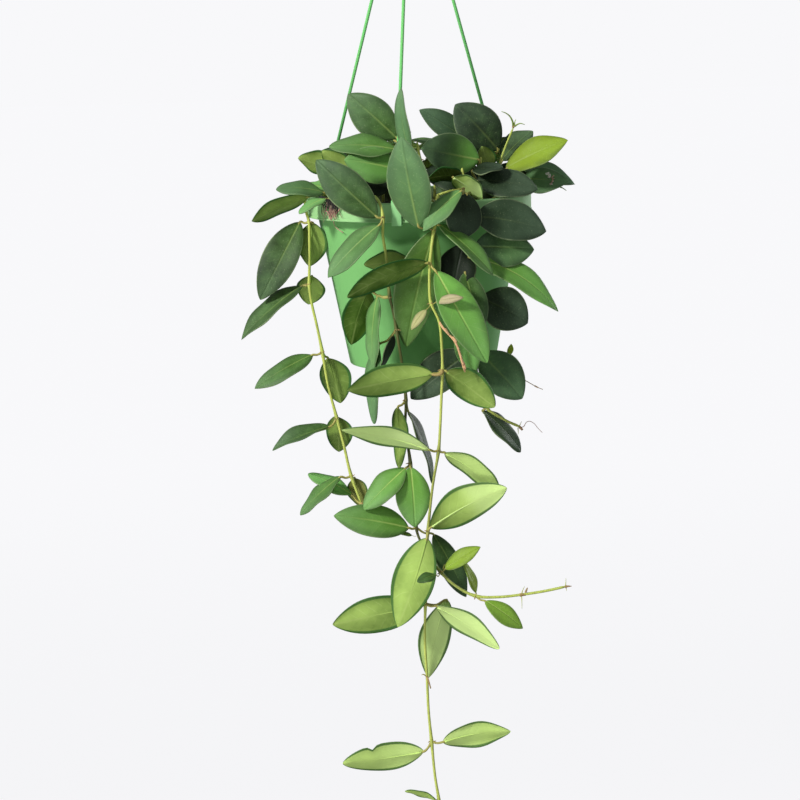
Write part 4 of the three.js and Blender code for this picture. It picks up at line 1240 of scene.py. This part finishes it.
class HOYA_OT_pot(bpy.types.Operator):
    """Turns the pot, with its hollow skirt, foot ring and drained floor"""

    bl_idname = "hoya.pot"
    bl_label = "Pot"

    def execute(self, context):
        settings = context.scene.hoya_pot
        top = LIP + SKIRT
        foot = LIP - DEPTH
        ceiling = foot + RECESS
        profile = [
            (0, ceiling),
            (BASE - FOOT_WIDTH - 1, ceiling),
            (BASE - FOOT_WIDTH, foot),
            (BASE, foot),
            (TOP, LIP),
            (TOP + 0.6, top - WALL),
            (RIM - WALL, top - WALL),
            (RIM - WALL, LIP),
            (RIM, LIP),
            (RIM, LIP + 1.1),
            (RIM - 0.45, LIP + 1.6),
            (RIM - 0.3, top),
            (TOP - WALL, top),
            (TOP - WALL, LIP),
            (BASE - WALL, ceiling + FLOOR),
            (0, ceiling + FLOOR),
        ]
        piece = spun(rounded(profile, POT_ROUNDING), settings.steps)
        made = to_object(piece, "pot_shell", [kept("moulded_pot", pot_plastic)])
        cutter = fresh()
        for i in range(DRAINS):
            turn = 2 * math.pi * i / DRAINS
            place = Vector((DRAIN_CIRCLE * math.cos(turn), DRAIN_CIRCLE * math.sin(turn), ceiling))
            bmesh.ops.create_cone(
                cutter,
                cap_ends=True,
                segments=24,
                radius1=DRAIN_RADIUS,
                radius2=DRAIN_RADIUS,
                depth=20.0,
                matrix=Matrix.Translation(place),
            )
        drilled(made, cutter)
        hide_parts("pot")
        return {"FINISHED"}


def drilled(made, cutter):
    """Cuts the drills out of a piece, with the result applied to its mesh."""
    bmesh.ops.scale(cutter, vec=Vector((MM, MM, MM)), verts=cutter.verts)
    mesh = bpy.data.meshes.new("drills")
    cutter.to_mesh(mesh)
    cutter.free()
    tool = bpy.data.objects.new("drills", mesh)
    bpy.context.scene.collection.objects.link(tool)
    cut = made.modifiers.new("drills", "BOOLEAN")
    cut.operation = "DIFFERENCE"
    cut.object = tool
    cut.solver = "EXACT"
    graph = bpy.context.evaluated_depsgraph_get()
    result = bpy.data.meshes.new_from_object(made.evaluated_get(graph))
    made.modifiers.clear()
    before = made.data
    made.data = result
    bpy.data.meshes.remove(before)
    bpy.data.objects.remove(tool)
    bpy.data.meshes.remove(mesh)


class HOYA_OT_hanger(bpy.types.Operator):
    """Bends the hook over its hub, and draws the three strands with their clips"""

    bl_idname = "hoya.hanger"
    bl_label = "Hanger"

    def execute(self, context):
        whole = fresh()
        centre = HOOK_INNER + HOOK_WIRE
        bend = []
        for angle in HOOK_BEND:
            turn = math.radians(angle)
            bend.append(Vector((centre * math.sin(turn), 0, -HOOK_INNER + centre * math.cos(turn))))
        bend += [Vector(place) for place in SHANK]
        line = smooth_path(bend, 3)[0]
        sizes = [HOOK_WIRE] * len(line)
        sizes[0] = HOOK_WIRE * 0.7
        add_tube(whole, line, sizes, 16, 0)
        profile = [
            (0, HUB["bottom"]),
            (HUB["radius"], HUB["bottom"]),
            (HUB["radius"], HUB["shoulder"]),
            (HUB["neck"], HUB["top"]),
            (0, HUB["top"]),
        ]
        appended(whole, spun(rounded(profile, 1.2), 32))
        made = to_object(whole, "hook_body", [kept("moulded_hanger", hanger_plastic)])
        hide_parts("hanger_hook")
        for side, azimuth in STRANDS.items():
            self.strand(side, azimuth)
        return {"FINISHED"}

    def strand(self, side, azimuth):
        whole = fresh()
        clip = RIM + CLIP_GAP + TAB_THICK / 2
        bottom = around(azimuth, clip + 0.2, LIP + 13.5)
        top = around(azimuth, HUB["circle"], HUB["bottom"])
        ahead = (bottom - top).normalized()
        start = top - ahead * HUB["socket"]
        add_tube(whole, [start, bottom], [STRAND_RADIUS, STRAND_RADIUS], 16, 0)
        turn = Matrix.Rotation(math.radians(azimuth), 4, "Z")
        tall = TAB_TALL + CLIP_GAP + CLIP_FLOOR
        low = LIP - CLIP_GAP - CLIP_FLOOR
        inner = RIM - WALL - CLIP_GAP - 0.7
        long = clip - inner + CLIP_TOE[1]
        for size, place in (
            ((TAB_WIDTH, TAB_THICK, tall), (0, -clip, low + tall / 2)),
            ((TAB_WIDTH, long, CLIP_FLOOR), (0, long / 2 - clip, low + CLIP_FLOOR / 2)),
            (CLIP_TOE, (0, CLIP_TOE[1] / 2 - inner, low + 2.2)),
        ):
            piece = fresh()
            matrix = turn @ Matrix.Translation(place) @ Matrix.Diagonal((*size, 1.0))
            bmesh.ops.create_cube(piece, size=1.0, matrix=matrix)
            bmesh.ops.bevel(
                piece,
                geom=piece.edges,
                offset=CLIP_ROUNDING,
                segments=2,
                profile=0.5,
                material=-1,
                affect="EDGES",
            )
            for face in piece.faces:
                face.smooth = True
            appended(whole, piece)
        made = to_object(whole, "strand_" + side, [kept("moulded_hanger", hanger_plastic)])
        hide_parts("hanger_strand_" + side)


class HOYA_OT_soil(bpy.types.Operator):
    """Finishes the soil, and strews bark crumbs and grit on it"""

    bl_idname = "hoya.soil"
    bl_label = "Soil"

    def execute(self, context):
        settings = context.scene.hoya_soil
        earth = kept("soil_earth", soil_earth)
        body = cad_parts["soil"]
        for slot in body.material_slots:
            slot.material = earth
        chance = random.Random(CRUMB_SEED)
        whole = fresh()
        for i in range(settings.crumbs):
            distance = (TOP - WALL - CRUMB_MARGIN) * math.sqrt(chance.random())
            size = chance.uniform(*CRUMB_SIZES)
            place = around(chance.uniform(-180, 180), distance, soil_top(distance) + size * 0.25)
            stretch = Vector((size * chance.uniform(0.7, 1.5), size, size * chance.uniform(0.5, 0.9)))
            turn = Matrix.Rotation(chance.uniform(0, math.pi), 3, "Z").to_quaternion()
            add_lump(whole, place, stretch, 0, 1.0, 0.0, turn, 0.8, i * 0.37, 1)
        made = to_object(whole, "soil_crumbs", [earth])
        return {"FINISHED"}


class HOYA_OT_vines(bpy.types.Operator):
    """Grows the vines that trail in front of the pot"""

    bl_idname = "hoya.vines"
    bl_label = "Trailing vines"

    def execute(self, context):
        for i, name in enumerate(name for name in PLANT if name.startswith("vine")):
            leafy_object(name, sighted_stem(PLANT[name]), VINE_SEED + i)
        return {"FINISHED"}


class HOYA_OT_crown(bpy.types.Operator):
    """Grows the short stems that crown the pot"""

    bl_idname = "hoya.crown"
    bl_label = "Crown"

    def execute(self, context):
        for i, name in enumerate(name for name in PLANT if name.startswith("crown")):
            leafy_object(name, sighted_stem(PLANT[name]), CROWN_SEED + i)
        return {"FINISHED"}


class HOYA_OT_hidden(bpy.types.Operator):
    """Grows the stems that the front view hides"""

    bl_idname = "hoya.hidden"
    bl_label = "Back and middle stems"

    def execute(self, context):
        for i, (name, plan) in enumerate(GROWN.items()):
            leafy_object(name, grown_stem(**plan), HIDDEN_SEED + i)
        return {"FINISHED"}


# Fine parts that are too thin for the solids. Each thread has its sighted points, its thickness at both
# ends, its material, and its tone and cast
THREADS = {
    "tendril": ([(479, 382, 63), (500, 376, 52), (516, 376.5, 52), (523, 379.3, 53), (536.5, 386.8, 54),
        (543, 389.5, 55)], 0.4, 0.2, BARK, 0.85, 1.3),
    "tendril_knot": ([(534.8, 385.9, 54), (536.5, 386.8, 54), (538.2, 387.6, 54)], 0.5, 0.4, BARK, 0.8,
        1.6),
    "twig": ([(475.5, 352, 63), (490, 357, 55), (508.4, 356.2, 54.5)], 0.5, 0.35, BARK, 0.9, 0.4),
    "root_hair": ([(521, 427.5, 65), (523.8, 426.4, 65), (526.3, 422.4, 65), (529.5, 421.2, 65),
        (534, 423.4, 65), (538, 428.2, 65), (542.3, 432.6, 65)], 0.26, 0.16, ROOT, 0.75, 0),
    "root_tip": ([(519.6, 426.8, 65), (521.2, 428.6, 65), (522.6, 430, 65)], 0.95, 0.7, BARK, 0.75, 1.6),
    "root_spike_up": ([(519, 427, 65), (521.6, 421.4, 65.5)], 0.35, 0.1, BARK, 1, 0.3),
    "root_spike_down": ([(518, 427.6, 65), (518.4, 434.4, 65.5)], 0.35, 0.1, BARK, 1, 0.3),
    "tip_leaf_long": ([(513.2, 125.6, 20), (512.6, 121.6, 21), (509.8, 116.2, 22), (505.6, 113, 23),
        (501.4, 111.4, 23)], 0.75, 0.2, UNDER, 0.35, 0.2),
    "tip_leaf_short": ([(514.4, 125.6, 20), (514.8, 122, 21), (516, 119.2, 21)], 0.5, 0.15, UNDER, 0.5,
        0.3),
    "tip_leaf_right": ([(515, 126.2, 20), (517.4, 124.4, 21), (520.6, 123.4, 22), (524.8, 124.6, 22)], 0.6,
        0.2, UNDER, 0.4, 0.2),
    "tip_knot": ([(513, 127.6, 19.8), (513.8, 125.4, 20), (514.6, 124.2, 20)], 0.95, 0.6, BARK, 1, 0.9),
    "branch_spike_up": ([(521.6, 594, 91), (522.6, 590.6, 91.5), (524.6, 586.4, 92)], 0.4, 0.12, BARK, 1,
        0.2),
    "branch_bud_stalk": ([(524.2, 594.4, 91), (525.6, 592, 91.5)], 0.3, 0.35, BARK, 1, 0.8),
    "branch_bud": ([(525.7, 591.8, 91.5), (526.6, 589.8, 91.8), (527.4, 587.8, 92)], 0.75, 0.35, BARK, 0.75,
        1.2),
    "branch_spike_down": ([(521.3, 595, 91), (521.8, 599, 91.5), (522, 608.6, 92)], 0.4, 0.12, BARK, 1,
        0.1),
    "branch_knot": ([(519.6, 595.1, 91), (522.6, 594.6, 91), (525.8, 594.4, 91)], 1.2, 0.9, BARK, 0.95, 1),
    "end_spike_up": ([(565.6, 586.6, 91), (566, 578.2, 91.5)], 0.35, 0.1, BARK, 1, 0.1),
    "end_spike_down": ([(566, 586.6, 91), (566.6, 591, 91.5)], 0.35, 0.1, BARK, 1, 0.3),
    "end_bud": ([(565, 586.8, 91), (567, 586.4, 91), (569.4, 586.2, 91), (571.6, 586.2, 91)], 1, 0.2, BARK,
        0.8, 1.3),
    "main_stub": ([(427, 676.6, 85.5), (428.6, 681, 87), (430.7, 688.4, 87)], 0.7, 0.4, BARK, 0.95, 1.1),
    "main_spike": ([(427, 677, 85.5), (423.6, 674.4, 86.5), (421.6, 675, 87)], 0.5, 0.2, BARK, 1, 0.7),
    "bract_high": ([(445.6, 328.6, 98), (448, 332.6, 99.5), (449.6, 334.8, 100)], 0.7, 0.5, BARK, 0.55,
        1.7),
    "bract_middle": ([(452.6, 337, 101), (455, 339.6, 102), (456.6, 342.4, 102)], 0.7, 0.6, BARK, 0.9, 2),
    "bract_low": ([(460.4, 355, 101.5), (461.6, 360.4, 102), (463.4, 364.4, 101.6)], 0.5, 0.9, BARK, 1, 2),
    "bract_last": ([(462.4, 361.6, 101), (464.4, 365, 101.4), (465.6, 369, 101)], 0.9, 0.45, BARK, 0.95, 2),
    "node_hook": ([(442.4, 370.6, 92), (441, 373.6, 93.6), (436.4, 374.8, 94), (432.6, 374.6, 93.6)], 1.25,
        0.95, BARK, 1, 0.9),
    "split_spike": ([(443.4, 568.6, 87), (443.8, 566, 88), (445.4, 564, 88.6)], 0.6, 0.3, BARK, 1, 0.4),
    "litter_twig": ([(551.6, 177.6, 14), (553, 180, 15.4), (551.2, 183, 15.6), (550.2, 187.6, 15.4)], 0.35,
        0.2, ROOT, 0.85, 0),
    "litter_hook": ([(554, 175.6, 13.6), (552, 177.6, 15), (554.4, 178.6, 15.4)], 0.3, 0.2, ROOT, 1, 0),
    "litter_tail": ([(560, 187, 12), (563, 188.2, 13), (566.4, 190.6, 13)], 0.5, 0.2, UNDER, 0.2, 0.2),
}
# Dried petals that lie on a leaf: place, size and tone
PETALS = (
    ((547.6, 173.6, 14), (1.5, 0.45, 0.9), 1.0),
    ((549.4, 176, 14.5), (1.0, 0.5, 1.3), 0.9),
    ((551.4, 184.6, 15.2), (1.3, 0.5, 1.0), 0.75),
    ((549.2, 186.8, 15.2), (1.0, 0.5, 0.8), 0.55),
    ((552.6, 181.4, 15.2), (0.7, 0.4, 1.0), 0.7),
)
# The tendril's leaf, the bract left of the second vine, and two leaves in the dark inside of the crown
# whose near-black tone is painted shade
TINY_LEAVES = (
    leaf(0, (508.4, 355.8, 54.5), (511.4, 343.8, 55), 4.2, (0.3, 0.85, 0.3), 0.45, 0.9),
    leaf(0, (411.8, 535.4, 75), (399.4, 533.4, 77), 3.6, (0.1, 0.5, 0.8), 0.35, 0.5),
    leaf(0, (389, 189, -12), (350, 182, -16), 21, (0, 0.9, 0.4), -0.6, 0),
    leaf(0, (486, 178, -2), (541, 176, -6), 20, (0, 0.8, 0.6), -0.6, 0),
)
# The tuft of roots over the rim: its middle and spread in degrees, and the other sizes in millimetres
TUFT_AZIMUTH = -49.0
TUFT_SPREAD = 3.0
TUFT_ROOTS = 54
TUFT_DRIFT = 2.2
TUFT_DROPS = (1.5, 12.5)
ROOT_SIZES = (0.2, 0.42)
TUFT_LUMPS = 40
LUMP_SPREAD = 3.4
LUMP_SIZES = (0.5, 1.2)
# The mark along a root where its pink end begins, and how many marks the change takes
PINK_MARK = 3.6
PINK_SLOPE = 1.2
# A single root on the pot below the tuft, by the picture pixels that it passes
STRING = [(333.6, 221.6), (335.4, 226.6), (339, 230), (343.4, 232.6)]
STRING_SIZE = 0.28


class HOYA_OT_fine(bpy.types.Operator):
    """Adds the threads, buds, dried petals and the roots that hang over the rim"""

    bl_idname = "hoya.fine"
    bl_label = "Fine parts"

    def execute(self, context):
        whole = fresh()
        for points, first, last, material, tone, cast in THREADS.values():
            line = smooth_path([sighted(point) for point in points], 4)[0]
            count = len(line) - 1
            sizes = [first + (last - first) * i / count for i in range(count + 1)]
            add_tube(whole, line, sizes, 8, material, tone, cast)
        for i, (place, size, tone) in enumerate(PETALS):
            add_lump(whole, sighted(place), Vector(size), ROOT, tone, tone, None, 0.8, i * 3.1, 2)
        for i, plan in enumerate(TINY_LEAVES):
            made = placed(plan)
            made["start"] = made["base"].lerp(made["tip"], -0.35)
            add_leaf(whole, made, TINY_SEED + i)
        self.tuft(whole)
        made = to_object(whole, "fine_parts", foliage_materials())
        return {"FINISHED"}

    def tuft(self, whole):
        """Roots that have grown out over the rim: dark at the soil, pinkish at their ends."""
        chance = random.Random(TUFT_SEED)
        top = LIP + SKIRT
        for i in range(TUFT_ROOTS):
            azimuth = TUFT_AZIMUTH + chance.gauss(0, TUFT_SPREAD)
            drift = chance.uniform(-TUFT_DRIFT, TUFT_DRIFT)
            drop = chance.uniform(*TUFT_DROPS)
            out = RIM + 0.7 + chance.uniform(0, 1.2)
            points = [
                around(azimuth - drift, TOP - 7, LIP + 5),
                around(azimuth, TOP - 1, top + 0.8 + chance.uniform(0, 1.4)),
                around(azimuth + drift * 0.3, RIM - 0.6, top + 0.9 + chance.uniform(0, 0.7)),
            ]
            for j in range(1, 5):
                azimuth += chance.uniform(-1.5, 1.5)
                wave = chance.uniform(-0.5, 0.5)
                points.append(around(azimuth, out + wave, top - drop * (j + wave) / 4))
            line, marks = smooth_path(points, 4)
            thick = chance.uniform(*ROOT_SIZES)
            sizes = between([thick] * (len(points) - 1) + [thick * 0.35], marks)
            pink = chance.uniform(0.4, 1.0) if drop > 6 else 0.0
            tones = [pink * max(0.0, min(1.0, (mark - PINK_MARK) / PINK_SLOPE)) for mark in marks]
            add_tube(whole, line, sizes, 6, ROOT, tones, 0.0)
        for i in range(TUFT_LUMPS):
            azimuth = TUFT_AZIMUTH + chance.gauss(0, LUMP_SPREAD)
            out = chance.uniform(RIM - 6, RIM + 0.9)
            place = around(azimuth, out, top + chance.uniform(-3.5 if out > RIM else 0.0, 1.4))
            size = chance.uniform(*LUMP_SIZES)
            add_lump(whole, place, Vector((size, size, size * 0.8)), ROOT, 0.0, 0.0, None, 0.9, i * 1.7, 1)
        points = [on_rim(*pixel, TOP + 0.8 if i else RIM + 0.9) for i, pixel in enumerate(STRING)]
        line = smooth_path(points, 4)[0]
        add_tube(whole, line, [STRING_SIZE] * len(line), 6, ROOT, 0.8, 0.0)


# Soft lamps: place, what they point at, size and colour
PLANT_MIDDLE = (0.0, 0.0, -0.36)
LAMPS = {
    "key": ((-1.27, -1.08, 0.75), PLANT_MIDDLE, 0.3, (1.0, 0.985, 0.95)),
    "fill": ((0.5, -2.2, 0.3), PLANT_MIDDLE, 1.6, (0.95, 0.98, 1.0)),
    "bounce": ((-0.8, -1.15, -1.12), (0.0, 0.0, -0.55), 1.0, (1.0, 1.0, 0.96)),
    "back": ((1.2, 1.4, -0.1), PLANT_MIDDLE, 1.2, (0.97, 0.99, 1.0)),
}
SKY_TINT = (0.94, 0.97, 1.0, 1.0)
FLOOR_SPAN = 30.0
FAR_CLIP = 50.0


class HOYA_OT_stage(bpy.types.Operator):
    """Sets the floor, the soft lights and the camera of the photograph"""

    bl_idname = "hoya.stage"
    bl_label = "Stage"

    def execute(self, context):
        settings = context.scene.hoya_stage
        floor = bmesh.new()
        bmesh.ops.create_grid(floor, x_segments=2, y_segments=2, size=FLOOR_SPAN)
        bmesh.ops.translate(floor, vec=Vector((0, 0, settings.floor)), verts=floor.verts)
        mesh = bpy.data.meshes.new("floor")
        floor.to_mesh(mesh)
        floor.free()
        mesh.materials.append(kept("pale_floor", pale_floor))
        made = bpy.data.objects.new("floor", mesh)
        context.scene.collection.objects.link(made)
        made.visible_diffuse = False
        made.visible_glossy = False
        for name, lamp in LAMPS.items():
            self.light(name, getattr(settings, name), *lamp)
        self.surroundings(context.scene, settings.sky)
        self.camera(context.scene)
        return {"FINISHED"}

    def light(self, name, power, place, target, size, colour):
        lamp = bpy.data.lights.new(name, "AREA")
        lamp.shape = "DISK"
        lamp.size = size
        lamp.energy = power
        lamp.color = colour
        made = bpy.data.objects.new(name, lamp)
        made.location = place
        made.rotation_euler = (Vector(target) - Vector(place)).to_track_quat("-Z", "Y").to_euler()
        made.visible_camera = False
        bpy.context.scene.collection.objects.link(made)

    def surroundings(self, scene, sky):
        world = bpy.data.worlds.new("studio")
        world.use_nodes = True
        tree = world.node_tree
        tree.nodes.clear()
        seen = tree.nodes.new("ShaderNodeBackground")
        seen.inputs["Color"].default_value = (*BACKDROP, 1.0)
        lit = tree.nodes.new("ShaderNodeBackground")
        lit.inputs["Color"].default_value = SKY_TINT
        lit.inputs["Strength"].default_value = sky
        path = tree.nodes.new("ShaderNodeLightPath")
        mixed = tree.nodes.new("ShaderNodeMixShader")
        out = tree.nodes.new("ShaderNodeOutputWorld")
        tree.links.new(path.outputs["Is Camera Ray"], mixed.inputs[0])
        tree.links.new(lit.outputs[0], mixed.inputs[1])
        tree.links.new(seen.outputs[0], mixed.inputs[2])
        tree.links.new(mixed.outputs[0], out.inputs["Surface"])
        scene.world = world
        scene.view_settings.view_transform = "Standard"
        scene.view_settings.look = "None"

    def camera(self, scene):
        lens = bpy.data.cameras.new("photograph")
        lens.sensor_width = SENSOR
        lens.lens = VIEW_FOCAL / PICTURE * SENSOR
        lens.clip_end = FAR_CLIP
        made = bpy.data.objects.new("photograph", lens)
        level = Vector((1, 0, 0))
        up = Vector((0, math.sin(VIEW_PITCH), math.cos(VIEW_PITCH)))
        right = level * math.cos(VIEW_ROLL) - up * math.sin(VIEW_ROLL)
        rise = level * math.sin(VIEW_ROLL) + up * math.cos(VIEW_ROLL)
        back = right.cross(rise)
        matrix = Matrix((right, rise, back)).transposed().to_4x4()
        place = Vector((VIEW_ACROSS, -VIEW_DISTANCE, LIP + VIEW_HEIGHT)) * MM
        made.matrix_world = Matrix.Translation(place) @ matrix
        scene.collection.objects.link(made)
        scene.camera = made


class HOYA_PT_panel(bpy.types.Panel):
    """Lists the pieces of the potted hoya"""

    bl_label = "Potted Hoya"
    bl_idname = "HOYA_PT_panel"
    bl_space_type = "VIEW_3D"
    bl_region_type = "UI"
    bl_category = "Hoya"

    def draw(self, context):
        for name in ("hoya_leaf", "hoya_stem", "hoya_pot", "hoya_soil", "hoya_stage"):
            group = getattr(context.scene, name)
            box = self.layout.box()
            for field in group.__annotations__:
                box.prop(group, field)
        for operator in OPERATORS:
            self.layout.operator(operator.bl_idname)


OPERATORS = (
    HOYA_OT_stage,
    HOYA_OT_pot,
    HOYA_OT_hanger,
    HOYA_OT_soil,
    HOYA_OT_vines,
    HOYA_OT_crown,
    HOYA_OT_hidden,
    HOYA_OT_fine,
)
GROUPS = {
    "hoya_leaf": HoyaLeafSettings,
    "hoya_stem": HoyaStemSettings,
    "hoya_pot": HoyaPotSettings,
    "hoya_soil": HoyaSoilSettings,
    "hoya_stage": HoyaStageSettings,
}


def register():
    for group in GROUPS.values():
        bpy.utils.register_class(group)
    for name, group in GROUPS.items():
        setattr(bpy.types.Scene, name, PointerProperty(type=group))
    for operator in OPERATORS:
        bpy.utils.register_class(operator)
    bpy.utils.register_class(HOYA_PT_panel)


def unregister():
    bpy.utils.unregister_class(HOYA_PT_panel)
    for operator in reversed(OPERATORS):
        bpy.utils.unregister_class(operator)
    for name in GROUPS:
        delattr(bpy.types.Scene, name)
    for group in reversed(GROUPS.values()):
        bpy.utils.unregister_class(group)


def main():
    register()
    bpy.ops.hoya.stage()
    bpy.ops.hoya.pot()
    bpy.ops.hoya.hanger()
    bpy.ops.hoya.soil()
    bpy.ops.hoya.vines()
    bpy.ops.hoya.crown()
    bpy.ops.hoya.hidden()
    bpy.ops.hoya.fine()


if __name__ == "__main__":
    main()
